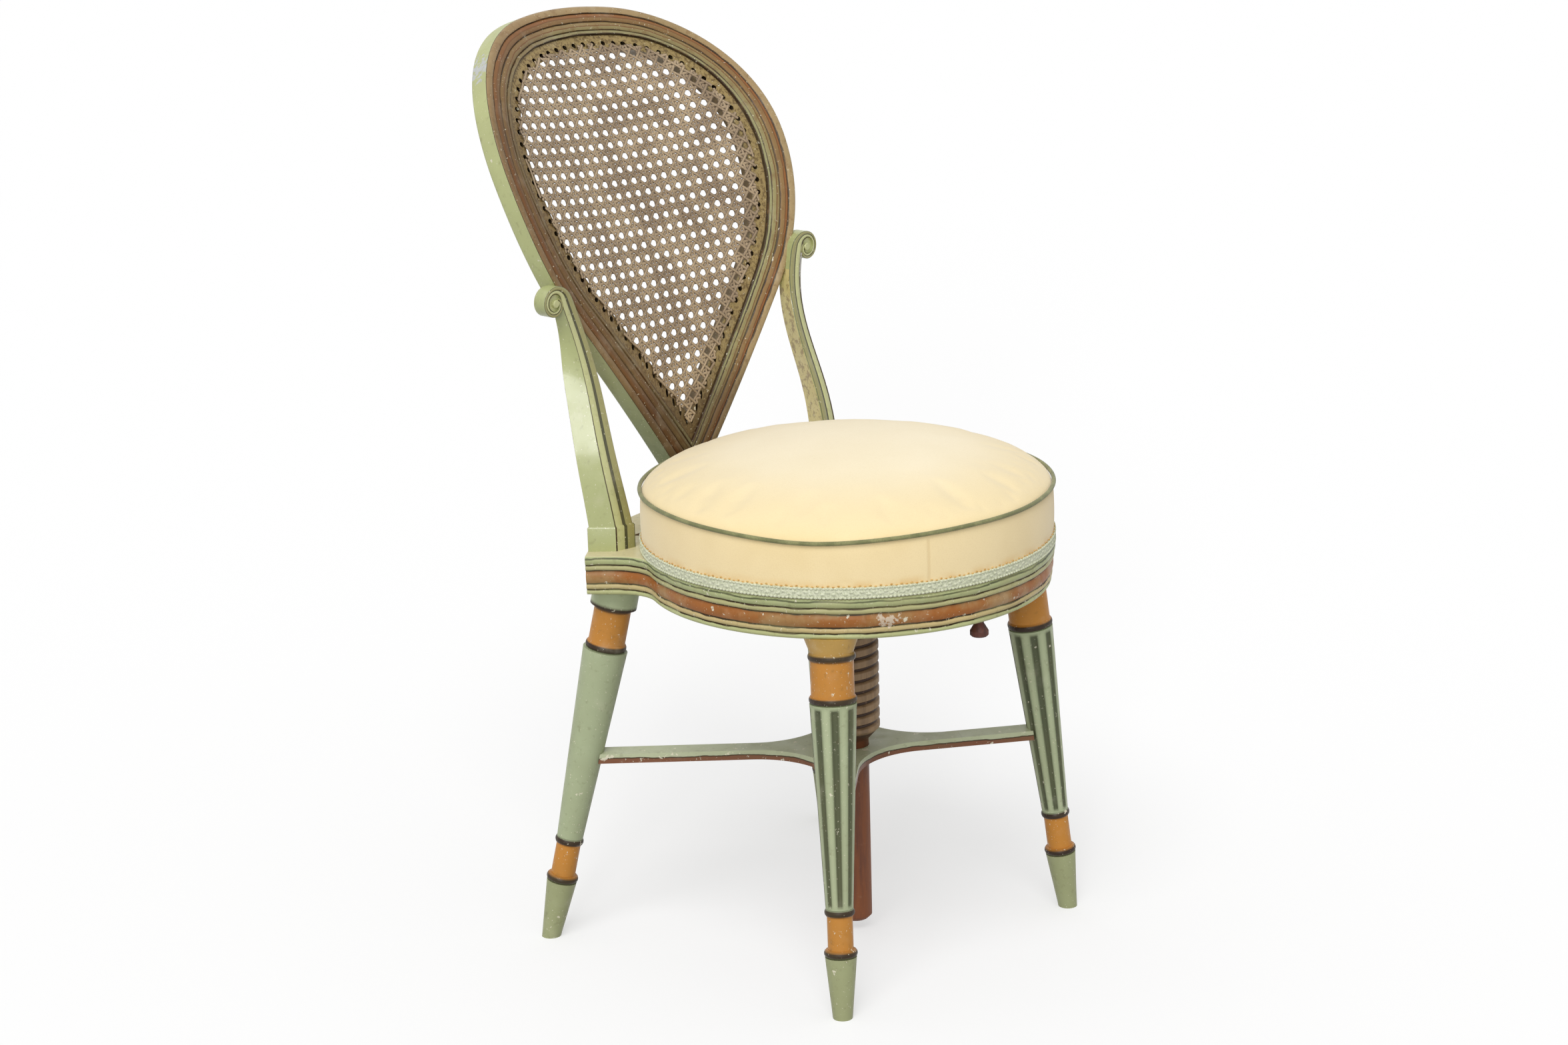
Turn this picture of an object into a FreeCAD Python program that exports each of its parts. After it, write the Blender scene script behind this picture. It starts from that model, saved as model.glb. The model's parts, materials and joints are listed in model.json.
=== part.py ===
import FreeCAD, Part
import math
import os
import Sketcher
from types import SimpleNamespace

# A music chair: a round cushioned seat on a wooden screw, four turned legs, a caned teardrop back
# and two scrolled arms. The chair faces -Y and is drawn about the axis of its screw; each piece's
# Placement then moves it so that the origin is under the middle of the chair. Lengths are in
# millimetres and angles in degrees.

V = FreeCAD.Vector
UP = V(0, 0, 1)
ACROSS = V(1, 0, 0)

SIZES = [
    ("rail_top", 413.0, "height of the seat frame's top"),
    ("rail_depth", 40.0, "height of the rails"),
    ("rail_radius", 206.0, "outline of the seat frame"),
    ("rail_width", 50.0, "width of the curved rails"),
    ("reed_relief", 2.0, "depth of the grooves between the rails' reeds"),
    ("rail_batter", 4.0, "set-back of the lowest reed"),
    ("reed_first", 9.0, "height of the top reed"),
    ("reed_second", 6.0, "height of the second reed"),
    ("reed_third", 13.5, "height of the wide middle reed"),
    ("reed_fourth", 6.0, "height of the fourth reed"),
    ("lap_angle", 42.0, "angle of the front laps from the front"),
    ("lap_span", 16.0, "angle that a front lap takes up"),
    ("cove_radius", 35.0, "hollow between the round frame and an ear"),
    ("ear_angle", 53.6, "direction of an ear's outer face"),
    ("ear_offset", 64.8, "distance of an ear's outer face from the screw's axis"),
    ("ear_reach", 254.0, "distance of an ear's end along its face"),
    ("ear_width", 78.0, "width of an ear"),
    ("back_rail_rear", 242.0, "rearmost point of the back rail"),
    ("rail_dowel_length", 32.0, "dowels in the seat frame"),
    ("dowel_radius", 4.0, "all dowels"),

    ("front_foot_x", 178.1, "a front foot, sideways"),
    ("front_foot_y", 137.6, "a front foot, forwards"),
    ("front_lean_x", 0.086, "lean of a front leg inwards, per unit of height"),
    ("front_lean_y", 0.087, "lean of a front leg backwards, per unit of height"),
    ("rear_foot_x", 214.8, "a rear foot, sideways"),
    ("rear_foot_y", 228.3, "a rear foot, backwards"),
    ("rear_lean_x", 0.162, "lean of a rear leg inwards, per unit of height"),
    ("rear_lean_y", 0.153, "lean of a rear leg forwards, per unit of height"),
    ("foot_sink", 10.0, "turned stock that is cut away to level a foot or a leg's top"),
    ("foot_radius", 9.6, "a leg at the floor"),
    ("foot_top_radius", 15.4, "a leg under its foot ring"),
    ("ankle_radius", 12.4, "a leg between its two low rings"),
    ("shaft_low_radius", 13.4, "a leg's shaft at its lower end"),
    ("shaft_top_radius", 22.6, "a leg's shaft at its upper end"),
    ("front_neck_radius", 20.8, "a front leg above its shaft"),
    ("rear_neck_radius", 18.6, "a rear leg above its shaft"),
    ("capital_radius", 27.5, "a front leg's flare under the rail"),
    ("rear_collar_radius", 23.5, "a rear leg's collar under the rail"),
    ("foot_ring_height", 64.0, "middle of the foot ring"),
    ("ankle_ring_height", 104.0, "middle of the ankle ring"),
    ("knee_ring_height", 310.0, "middle of the ring above the shaft"),
    ("collar_ring_height", 351.0, "middle of the ring under the capital"),
    ("ring_tall", 8.0, "height of a turned ring"),
    ("foot_ring_swell", 3.8, "how far the foot ring stands out"),
    ("ring_swell", 2.2, "how far the other rings stand out"),
    ("flute_count", 8, "flutes round a front leg"),
    ("flute_radius", 4.2, "curve of a flute at its upper end"),
    ("flute_depth", 1.6, "depth of a flute at its upper end"),
    ("tenon_radius", 11.0, "round tenon at a leg's top"),
    ("tenon_length", 30.0, "round tenon at a leg's top"),

    ("stretcher_height", 188.0, "underside of the stretcher"),
    ("stretcher_thickness", 10.0, "thickness of the stretcher"),
    ("stretcher_width", 22.0, "width of a stretcher arm"),
    ("hub_reach", 112.0, "length of the hub's stubs"),
    ("hub_lap", 20.0, "lap of an arm on its stub"),
    ("hub_sweep", 80.0, "hollow between two stubs"),
    ("stretcher_tenon", 14.0, "width of the tenon in a leg"),
    ("stretcher_sink", 8.0, "wood left between that tenon and the leg's axis"),

    ("thread_radius", 29.0, "crest of the screw's thread"),
    ("thread_low", 218.0, "lower end of the thread"),
    ("thread_taper", 13.0, "length of the taper below the thread"),
    ("shank_radius", 17.0, "plain shank of the screw"),
    ("shank_low", 10.0, "lower end of the shank"),
    ("shank_chamfer", 4.0, "chamfer at the shank's end"),
    ("screw_tenon_radius", 20.0, "tenon of the screw in its flange"),
    ("bar_width", 76.0, "cross bar that carries the nut"),
    ("bar_thickness", 26.0, "cross bar that carries the nut"),
    ("bar_housing", 12.0, "depth of the cross bar's ends in the side rails"),
    ("bar_hole", 31.0, "hole for the screw in the cross bar"),
    ("nut_radius", 48.0, "wooden nut"),
    ("nut_depth", 42.0, "wooden nut"),
    ("nut_screw_circle", 41.0, "screws that hold the nut"),
    ("flange_radius", 60.0, "flange on top of the screw"),
    ("flange_thickness", 8.0, "flange on top of the screw"),
    ("flange_screw_circle", 46.0, "screws that hold the flange to the seat board"),
    ("flange_screw_length", 16.0, "screws that hold the flange to the seat board"),
    ("washer_radius", 55.0, "washer between the flange and the cross bar"),
    ("washer_thickness", 3.0, "washer between the flange and the cross bar"),
    ("fixing_radius", 2.4, "shank of a wood screw"),
    ("fixing_head_radius", 4.6, "head of a wood screw"),
    ("fixing_head", 3.0, "height of a wood screw's head"),
    ("fixing_bite", 16.0, "length of a wood screw in the piece that it holds to"),
    ("bar_screw_spread", 44.0, "distance between the two screws at an end of the cross bar"),
    ("bar_screw_bite", 7.0, "length of those screws in a side rail"),

    ("seat_radius", 205.0, "outside of the cushion's boxing"),
    ("board_thickness", 15.0, "seat board"),
    ("cloth", 2.4, "thickness of the padded cloth"),
    ("welt_height", 473.2, "middle of the piping"),
    ("welt_radius", 2.0, "thickness of the piping"),
    ("crown", 38.0, "rise of the cushion above its edge"),
    ("shoulder_ring", 172.0, "radius at which the cushion's steep edge turns into its flatter top"),
    ("shoulder_rise", 21.0, "rise of the cushion at that radius"),
    ("boxing_swell", 1.4, "how far the boxing swells out"),
    ("gimp_height", 11.5, "braid round the foot of the cushion"),
    ("gimp_thickness", 1.5, "braid round the foot of the cushion"),

    ("back_toe_y", 211.0, "front of the back at the seat frame's top"),
    ("back_rake", 17.0, "lean of the back"),
    ("back_thickness", 25.6, "thickness of the hoop"),
    ("dish_radius", 684.0, "hollow of the back from side to side"),
    ("bow_radius", 690.0, "bow of the back from top to bottom"),
    ("bow_middle", 250.0, "height up the back where the bow is fullest"),
    ("back_height", 532.0, "top of the hoop, up the rake"),
    ("crest_radius", 333.0, "outline of the crest"),
    ("crest_angle", 10.8, "half of the crest's arc"),
    ("shoulder_radius", 167.0, "outline of a shoulder"),
    ("side_radius", 262.0, "outline of a side"),
    ("toe_angle", 37.3, "slant of the straight lower sides"),
    ("toe_half_width", 22.0, "half of the toe block's width"),
    ("toe_height", 45.0, "height of the toe block, up the rake"),
    ("hoop_width", 32.0, "reeded face of the hoop"),
    ("border_width", 16.0, "drilled border inside the reeds"),
    ("border_recess", 6.0, "set-back of the border from the reeds"),
    ("border_thickness", 12.0, "thickness of the border"),
    ("reed_pitch", 9.5, "spacing of the hoop's grooves"),
    ("groove_width", 1.6, "width of the hoop's grooves"),
    ("groove_depth", 2.0, "depth of the hoop's grooves"),
    ("cane_thickness", 1.4, "woven panel"),
    ("cane_pitch", 16.5, "spacing of the openings in the weave"),
    ("cane_hole", 10.0, "width of an opening in the weave"),
    ("toe_tenon_width", 28.0, "tenon of the back in its rail"),
    ("toe_tenon_thickness", 12.0, "tenon of the back in its rail"),
    ("toe_tenon_length", 24.0, "tenon of the back in its rail"),
    ("hoop_dowel_length", 40.0, "dowels in the hoop"),
    ("toe_dowel_spread", 20.0, "distance between the two dowels in the toe"),

    ("arm_x", 171.5, "front edge of an arm, sideways"),
    ("arm_y", 155.0, "front edge of an arm at its foot, backwards"),
    ("arm_side_x", 17.5, "plain outer face of an arm, sideways"),
    ("arm_side_y", 21.0, "plain outer face of an arm, backwards"),
    ("arm_face_x", 22.5, "moulded front face of an arm, sideways"),
    ("arm_face_y", 3.5, "moulded front face of an arm, forwards"),
    ("arm_rear_x", 13.5, "inner rear edge of an arm, inwards from its front edge"),
    ("arm_rear_y", 29.0, "inner rear edge of an arm, backwards from its front edge"),
    ("arm_taper", 0.3, "share of its section that an arm loses up to the scroll"),
    ("arm_sweep", 60.0, "how far an arm sweeps back"),
    ("arm_rise", 202.0, "height of an arm's stem"),
    ("arm_cap", 24.0, "length of the stem behind the scroll"),
    ("plinth_height", 25.0, "square foot of an arm"),
    ("plinth_margin", 1.5, "how far that foot stands out"),
    ("scroll_radius", 14.5, "scroll at an arm's top"),
    ("scroll_out", 14.5, "the scroll's middle outside the arm's front edge"),
    ("scroll_rise", 19.0, "the scroll's middle above the stem"),
    ("scroll_depth", 21.0, "depth of the scroll"),
    ("arm_dowel_length", 30.0, "dowel in an arm's foot"),

    ("knob_radius", 9.0, "knob under the front rail"),
    ("knob_height", 17.0, "knob under the front rail"),
    ("knob_rim", 4.0, "upright rim at the foot of that knob"),
    ("knob_edge", 1.5, "bevel under that rim"),
    ("knob_stem_radius", 4.5, "stem of that knob"),
    ("knob_stem_length", 14.0, "stem of that knob in the rail"),
    ("knob_x", -26.5, "the knob's place, sideways"),
    ("knob_inset", 16.0, "the knob's place, in from the outline"),

    ("fit", 0.1, "clearance of a glued or driven fit"),
    ("running", 0.4, "clearance of pieces that move past each other"),
]


class Size:
    """A number together with the sheet expression that gives it."""

    def __init__(self, value, text):
        self.value = value
        self.text = text

    def joined(self, sign, other, value):
        return Size(value, "({} {} {})".format(self.text, sign, text_of(other)))

    def __add__(self, other):
        return self.joined("+", other, self.value + float(other))

    def __sub__(self, other):
        return self.joined("-", other, self.value - float(other))

    def __mul__(self, other):
        return self.joined("*", other, self.value * float(other))

    def __truediv__(self, other):
        return self.joined("/", other, self.value / float(other))

    def __float__(self):
        return float(self.value)


def text_of(size):
    return size.text if isinstance(size, Size) else repr(float(size))


doc = FreeCAD.newDocument("MusicChair")
sheet = doc.addObject("Spreadsheet::Sheet", "Sizes")
for row, (alias, number, meaning) in enumerate(SIZES, start=1):
    sheet.set("A{}".format(row), meaning)
    sheet.set("B{}".format(row), str(number))
    sheet.setAlias("B{}".format(row), alias)
doc.recompute()

# The same sizes as expressions, for bound pieces, and as numbers, for pieces set by this script.
S = SimpleNamespace(**{alias: Size(number, "Sizes." + alias) for alias, number, meaning in SIZES})
N = SimpleNamespace(**{alias: number for alias, number, meaning in SIZES})

# Heights that several pieces share
RAIL_LOW = S.rail_top - S.rail_depth
BOARD_LOW = S.rail_top + S.running
BOARD_TOP = BOARD_LOW + S.board_thickness
FLANGE_LOW = BOARD_LOW - S.flange_thickness
WASHER_LOW = FLANGE_LOW - S.fit - S.washer_thickness
BAR_TOP = WASHER_LOW - S.fit
BAR_LOW = BAR_TOP - S.bar_thickness
NUT_LOW = BAR_LOW - S.nut_depth


# Making and keeping objects of the document

parts = []


def keep(obj, label, moved=True):
    """Makes an object one of the chair's pieces and moves it to the chair's own origin."""
    obj.Label = label
    if moved:
        obj.setExpression("Placement.Base.y", "Sizes.screw_y")
    parts.append(obj)
    return obj


def formed(label, shape):
    """A piece whose shape this script makes from the sheet's numbers."""
    obj = doc.addObject("Part::Feature", label)
    obj.Shape = shape
    return keep(obj, label)


def mirrored(label, source):
    """The left-hand twin of a right-hand piece."""
    obj = doc.addObject("Part::Mirroring", label)
    obj.Source = source
    obj.Base = V()
    obj.Normal = ACROSS
    return keep(obj, label, moved=False)


def primitive(kind, name, place=None, turn=None, **sizes):
    """A Part primitive with bound sizes, at bound coordinates or at a fixed placement."""
    obj = doc.addObject("Part::" + kind, name)
    for prop, size in sizes.items():
        obj.setExpression(prop, text_of(size))
    if turn is not None:
        obj.Placement = turn
    for axis, size in zip("xyz", place or ()):
        if size is not None:
            obj.setExpression("Placement.Base." + axis, text_of(size))
    return obj


def combined(kind, name, base, tool):
    obj = doc.addObject("Part::" + kind, name)
    obj.Base = base
    obj.Tool = tool
    obj.Refine = True
    return obj


def grouped(name, objects):
    obj = doc.addObject("Part::Compound", name)
    obj.Links = objects
    return obj


# Turned pieces


def turned(name, profile):
    """A body revolved about Z from a profile of (radius, height) corners.

    A third value in a corner is the radius at which the arc that leads to it has its centre. A
    radius of None lies on the axis, and so does a centre given as the axis.
    """
    body = doc.addObject("PartDesign::Body", name)
    sketch = body.newObject("Sketcher::SketchObject", name + "_profile")
    sketch.AttachmentSupport = [(origin_feature(body, "XZ_Plane"), "")]
    sketch.MapMode = "FlatFace"
    corners = [V(float(corner[0] or 0), float(corner[1]), 0) for corner in profile]
    ends = []
    for index, corner in enumerate(profile):
        start, stop = corners[index - 1], corners[index]
        if len(corner) == 3:
            ends.append(turned_arc(sketch, start, stop, corner[2]))
        else:
            line = sketch.addGeometry(Part.LineSegment(start, stop), False)
            ends.append((line, 1, 2))
    for index, corner in enumerate(profile):
        geometry, _, last = ends[index]
        following, first, _ = ends[(index + 1) % len(ends)]
        sketch.addConstraint(Sketcher.Constraint("Coincident", geometry, last, following, first))
        held(sketch, "DistanceX", geometry, last, corner[0])
        held(sketch, "DistanceY", geometry, last, corner[1])
    turning = body.newObject("PartDesign::Revolution", name + "_turning")
    turning.Profile = sketch
    turning.ReferenceAxis = (sketch, ["V_Axis"])
    turning.Angle = 360.0
    doc.recompute()
    return body


AXIS = "axis"
VERTICAL_AXIS = -2
START, END, CENTRE = 1, 2, 3


def origin_feature(body, role):
    return [feature for feature in body.Origin.OriginFeatures if feature.Role == role][0]


def turned_arc(sketch, start, stop, centre_radius):
    """An arc that bulges away from its centre, whichever way the profile runs along it."""
    x = 0.0 if centre_radius == AXIS else float(centre_radius)
    squares = (stop.x - x) ** 2 - (start.x - x) ** 2 + stop.y ** 2 - start.y ** 2
    centre = V(x, squares / (2 * (stop.y - start.y)), 0)
    rising = stop.y > start.y
    low, high = (start, stop) if rising else (stop, start)
    angles = [math.atan2(point.y - centre.y, point.x - centre.x) for point in (low, high)]
    circle = Part.Circle(centre, UP, (low - centre).Length)
    geometry = sketch.addGeometry(Part.ArcOfCircle(circle, *angles), False)
    held(sketch, "DistanceX", geometry, CENTRE, None if centre_radius == AXIS else centre_radius)
    return (geometry, START, END) if rising else (geometry, END, START)


def held(sketch, kind, geometry, point, size):
    """Binds one coordinate of a sketch point to a size, or holds the point on the axis."""
    if size is None:
        sketch.addConstraint(Sketcher.Constraint("PointOnObject", geometry, point, VERTICAL_AXIS))
        return
    constraint = Sketcher.Constraint(kind, -1, START, geometry, point, float(size))
    index = sketch.addConstraint(constraint)
    sketch.setExpression("Constraints[{}]".format(index), text_of(size))


def bead(root, swell, height, tall):
    """The two corners of a turned ring that stands out by swell from a root radius."""
    half = tall / 2
    curve = (half * half + swell * swell) / (swell * 2)
    return [(root, height - half), (root, height + half, root + swell - curve)]


def ring(inner, outer, low, high):
    return [(inner, low), (outer, low), (outer, high), (inner, high)]


# Seat frame


def plan(angle, radius=1.0):
    return V(radius * math.cos(math.radians(angle)), radius * math.sin(math.radians(angle)), 0)


def segment(start, stop):
    return Part.LineSegment(start, stop).toShape()


def path_wire(edges):
    return Part.Wire(Part.sortEdges(edges)[0])


def one_solid(shape):
    """The single solid that a boolean leaves, without the seams inside its faces."""
    clean = shape.removeSplitter()
    return clean.Solids[0] if len(clean.Solids) == 1 else clean


def rail_section(corner, inward, width):
    """The upright reeded section of a rail, from a corner of the outline inwards."""
    inward = V(inward).normalize()
    reeds = [N.reed_first, N.reed_second, N.reed_third, N.reed_fourth]
    reeds.append(N.rail_depth - sum(reeds))

    def at(inset, height):
        return corner + inward * inset + UP * height

    edges = []
    height = N.rail_top
    last = None
    for index, reed in enumerate(reeds):
        face = N.rail_batter * index / (len(reeds) - 1)
        start = at(face + N.reed_relief, height)
        if last is not None:
            edges.append(segment(last, start))
        last = at(face + N.reed_relief, height - reed)
        edges.append(Part.Arc(start, at(face, height - reed / 2), last).toShape())
        height -= reed
    corners = [last, at(width, height), at(width, N.rail_top), at(N.reed_relief, N.rail_top)]
    edges += [segment(start, stop) for start, stop in zip(corners, corners[1:])]
    return Part.Face(Part.Wire(edges))


# The right-hand ear: its outer face runs along EAR_ALONG and looks along EAR_OUT.
EAR_ALONG = plan(N.ear_angle)
EAR_OUT = plan(N.ear_angle - 90)
COVE_OUT = N.ear_offset + N.cove_radius
COVE_ALONG = math.sqrt((N.rail_radius + N.cove_radius) ** 2 - COVE_OUT ** 2)
COVE_MIDDLE = EAR_OUT * COVE_OUT + EAR_ALONG * COVE_ALONG
COVE_START = math.degrees(math.atan2(COVE_MIDDLE.y, COVE_MIDDLE.x))
EAR_INNER = EAR_OUT * (N.ear_offset - N.ear_width)
RAIL_HALF = N.rail_top - N.rail_depth / 2


def wedge(middle, span, low, high):
    """A sector about the screw's axis that reaches past the seat frame."""
    sector = Part.makeCylinder(2 * N.rail_radius, high - low, V(0, 0, low), UP, span)
    sector.rotate(V(), UP, middle - span / 2)
    return sector


def front_rail_shape():
    """The bowed front rail, halved below at each end to lap over the side rails."""
    reach = N.lap_angle + N.lap_span / 2
    start = plan(-90 - reach, N.rail_radius)
    rail = rail_section(start, start * -1, N.rail_width).revolve(V(), UP, 2 * reach)
    for side in (-1, 1):
        rail = rail.cut(wedge(-90 + side * N.lap_angle, N.lap_span, float(RAIL_LOW) - 1, RAIL_HALF))
    return rail


def side_rail_shape():
    """The right side rail: an arc of the round frame, a cove and an ear over the rear leg."""
    first = -90 + N.lap_angle - N.lap_span / 2
    start = plan(first, N.rail_radius)
    arc = rail_section(start, start * -1, N.rail_width).revolve(V(), UP, COVE_START - first)
    tangent = plan(COVE_START, N.rail_radius)
    ear_start = COVE_MIDDLE - EAR_OUT * N.cove_radius
    to_tangent, to_ear = tangent - COVE_MIDDLE, ear_start - COVE_MIDDLE
    turn = math.degrees(to_tangent.getAngle(to_ear))
    cove = rail_section(tangent, to_tangent, N.ear_width).revolve(COVE_MIDDLE, UP * -1, turn)
    ear = rail_section(ear_start, EAR_OUT * -1, N.ear_width)
    ear = ear.extrude(EAR_ALONG * (N.ear_reach - COVE_ALONG))
    rail = arc.fuse([cove, ear])
    lap = wedge(-90 + N.lap_angle, N.lap_span, RAIL_HALF, N.rail_top + 1)
    return one_solid(rail.cut(lap))


def back_rail_shape():
    """The rail between the ears, with a bowed rear edge, that carries the caned back."""
    front = EAR_INNER + EAR_ALONG * COVE_ALONG
    rear = EAR_INNER + EAR_ALONG * N.ear_reach
    left_front, left_rear = V(-front.x, front.y, 0), V(-rear.x, rear.y, 0)
    bow = Part.Arc(rear, V(0, N.back_rail_rear, 0), left_rear).toShape()
    edges = [segment(left_front, front), segment(front, rear), bow, segment(left_rear, left_front)]
    rail = Part.Face(path_wire(edges)).extrude(UP * N.rail_depth)
    rail.translate(UP * float(RAIL_LOW))
    return rail


def rail_dowel_places():
    """Middle and direction of each right-hand dowel of the seat frame."""
    width = N.ear_reach - COVE_ALONG
    level = UP * RAIL_HALF
    places = [(EAR_INNER + EAR_ALONG * (COVE_ALONG + share * width) + level, EAR_OUT)
              for share in (0.25, 0.75)]
    lap = plan(-90 + N.lap_angle, N.rail_radius - N.rail_width / 2)
    places.append((lap + level, UP))
    return places


# Dowels


def dowel_hole(middle, direction, length):
    axis = V(direction).normalize()
    start = middle - axis * (length / 2 + N.fit)
    return Part.makeCylinder(N.dowel_radius + N.fit, length + 2 * N.fit, start, axis)


def dowels(label, places, length):
    """One node of separate dowels, all of one length."""
    pegs = []
    for index, (middle, direction) in enumerate(places):
        axis = V(direction).normalize()
        turn = FreeCAD.Placement(middle - axis * (float(length) / 2), FreeCAD.Rotation(UP, axis))
        name = "{}_peg{}".format(label, index + 1)
        pegs.append(primitive("Cylinder", name, turn=turn, Radius=S.dowel_radius, Height=length))
    return keep(grouped(label, pegs), label)


def both_sides(places):
    """The places of right-hand dowels, followed by those of their left-hand twins."""
    twins = [(V(-p.x, p.y, p.z), V(-d.x, d.y, d.z)) for p, d in places]
    return places + twins


def holed(shape, places, length):
    for middle, direction in places:
        shape = shape.cut(dowel_hole(middle, direction, length))
    return shape


# Legs

FEET = {
    "front": (N.front_foot_x, -N.front_foot_y, -N.front_lean_x, N.front_lean_y),
    "rear": (N.rear_foot_x, N.rear_foot_y, -N.rear_lean_x, -N.rear_lean_y),
}


def leg_axis(row, height):
    """The point of a right-hand leg's axis at a height."""
    x, y, lean_x, lean_y = FEET[row]
    return V(x + lean_x * height, y + lean_y * height, height)


def leg_direction(row):
    return (leg_axis(row, 1) - leg_axis(row, 0)).normalize()


def leg_slope(row):
    """Length along a right-hand leg's axis for each unit of height."""
    return (leg_axis(row, 1) - leg_axis(row, 0)).Length


def shaft_radius(height):
    low = N.ankle_ring_height + N.ring_tall / 2
    high = N.knee_ring_height - N.ring_tall / 2
    share = (height - low) / (high - low)
    return N.shaft_low_radius + share * (N.shaft_top_radius - N.shaft_low_radius)


def leg_profile(row):
    """A leg's turned outline; lengths count from the stock that is cut away under the floor."""
    floor = S.foot_sink
    half = S.ring_tall / 2
    slope = leg_slope(row)
    foot, ankle = floor + S.foot_ring_height * slope, floor + S.ankle_ring_height * slope
    knee, collar = floor + S.knee_ring_height * slope, floor + S.collar_ring_height * slope
    top = floor + RAIL_LOW * slope
    stock = top + S.foot_sink
    neck = S.front_neck_radius if row == "front" else S.rear_neck_radius
    corners = [(None, floor / 2), (S.foot_radius, floor / 2), (S.foot_radius, floor)]
    corners += [(S.foot_top_radius, foot - half)]
    corners += bead(S.ankle_radius, S.foot_ring_swell, foot, S.ring_tall)
    corners += bead(S.ankle_radius, S.ring_swell, ankle, S.ring_tall)
    corners += [(S.shaft_low_radius, ankle + half), (S.shaft_top_radius, knee - half)]
    corners += bead(neck, S.ring_swell, knee, S.ring_tall)
    if row == "front":
        corners += bead(neck, S.ring_swell, collar, S.ring_tall)
        corners += [(S.capital_radius, top), (S.capital_radius, stock)]
    else:
        corners += [(neck, collar), (S.rear_collar_radius, collar), (S.rear_collar_radius, stock)]
    corners += [(None, stock)]
    return corners


def flute(body, slope):
    """Cuts tapered flutes all round the shaft of a turned leg."""
    low = N.ankle_ring_height + N.ring_tall
    high = N.knee_ring_height - N.ring_tall
    shrink = shaft_radius(low) / shaft_radius(high)
    out = N.flute_radius - N.flute_depth
    foot = V(shaft_radius(low) + out * shrink, 0, low * slope + N.foot_sink)
    head = V(shaft_radius(high) + out, 0, high * slope + N.foot_sink)
    run = head - foot
    cone = body.newObject("PartDesign::SubtractiveCone", body.Name + "_flute")
    cone.setExpression("Radius1", text_of(S.flute_radius * shrink))
    cone.setExpression("Radius2", text_of(S.flute_radius))
    cone.Height = run.Length
    cone.Placement = FreeCAD.Placement(foot, FreeCAD.Rotation(UP, run))
    doc.recompute()
    pattern = body.newObject("PartDesign::PolarPattern", body.Name + "_flutes")
    pattern.Originals = [cone]
    pattern.Axis = (origin_feature(body, "Z_Axis"), [""])
    pattern.Angle = 360.0
    pattern.setExpression("Occurrences", text_of(S.flute_count))
    body.Tip = pattern
    doc.recompute()


def stretcher_out(row):
    """The plan vector from the screw's axis to a right-hand leg at the stretcher."""
    point = leg_axis(row, N.stretcher_height + N.stretcher_thickness / 2)
    return V(point.x, point.y, 0)


def stretcher_turn(row, start, width, low):
    """The placement of a box that runs out from the screw's axis to a right-hand leg."""
    out = stretcher_out(row)
    turn = FreeCAD.Rotation(UP, math.degrees(math.atan2(out.y, out.x)))
    return FreeCAD.Placement(turn.multVec(V(start, -width / 2, low)), turn)


def stretcher_bar(name, row, start, stop, width, low, thick):
    """A flat bar of the stretcher, as a box with a bound width and thickness."""
    turn = stretcher_turn(row, start, float(width), float(low))
    return primitive("Box", name, turn=turn, Length=stop - start, Width=width, Height=thick)


def leg(row):
    """A leg leaned to its place, cut level at floor and rail, with its tenon and a mortise."""
    body = turned("turned_leg_" + row, leg_profile(row))
    if row == "front":
        flute(body, leg_slope(row))
    axis = leg_direction(row)
    lean = FreeCAD.Rotation(UP, axis)
    body.Placement = FreeCAD.Placement(leg_axis(row, 0) - axis * N.foot_sink, lean)
    shoulder = leg_axis(row, float(RAIL_LOW)) - axis * N.foot_sink
    levelled = combined("Common", "level_leg_" + row, body, level_space)
    peg = primitive("Cylinder", "peg_" + row, turn=FreeCAD.Placement(shoulder, lean),
                    Radius=S.tenon_radius, Height=S.tenon_length + S.foot_sink)
    joined = combined("Fuse", "pegged_leg_" + row, levelled, peg)
    length = stretcher_out(row).Length
    slot = stretcher_bar("mortise_" + row, row, length - 2 * N.shaft_top_radius,
                         length - N.stretcher_sink + N.fit, S.stretcher_tenon + S.fit * 2,
                         S.stretcher_height - S.fit, S.stretcher_thickness + S.fit * 2)
    return combined("Cut", "leg_{}_right".format(row), joined, slot)


def leg_socket(row):
    axis = leg_direction(row)
    start = leg_axis(row, float(RAIL_LOW)) - axis * N.foot_sink
    length = N.tenon_length + N.foot_sink + N.fit
    return Part.makeCylinder(N.tenon_radius + N.fit, length, start, axis)


# Stretcher


def stretcher_arm(row):
    """A flat arm, lapped on the hub, scribed to its leg and tenoned into it."""
    length = stretcher_out(row).Length
    lap_end = N.hub_reach + N.hub_lap
    half = S.stretcher_thickness / 2
    body = stretcher_bar("bar_" + row, row, lap_end, length, S.stretcher_width,
                         S.stretcher_height, S.stretcher_thickness)
    lap = stretcher_bar("lap_" + row, row, N.hub_reach + N.fit, lap_end, S.stretcher_width,
                        S.stretcher_height + half + S.fit, half - S.fit)
    low = leg_axis(row, N.stretcher_height - N.ring_tall)
    turn = FreeCAD.Placement(low, FreeCAD.Rotation(UP, leg_direction(row)))
    radius = shaft_radius(N.stretcher_height + N.stretcher_thickness) + N.running
    scribe = primitive("Cylinder", "scribe_" + row, turn=turn, Radius=radius,
                       Height=S.stretcher_thickness + S.ring_tall * 2)
    tenon = stretcher_bar("tenon_" + row, row, lap_end, length - N.stretcher_sink, S.stretcher_tenon,
                          S.stretcher_height, S.stretcher_thickness)
    lapped = combined("Fuse", "lapped_" + row, body, lap)
    scribed = combined("Cut", "scribed_" + row, lapped, scribe)
    return combined("Fuse", "stretcher_{}_right".format(row), scribed, tenon)


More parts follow.
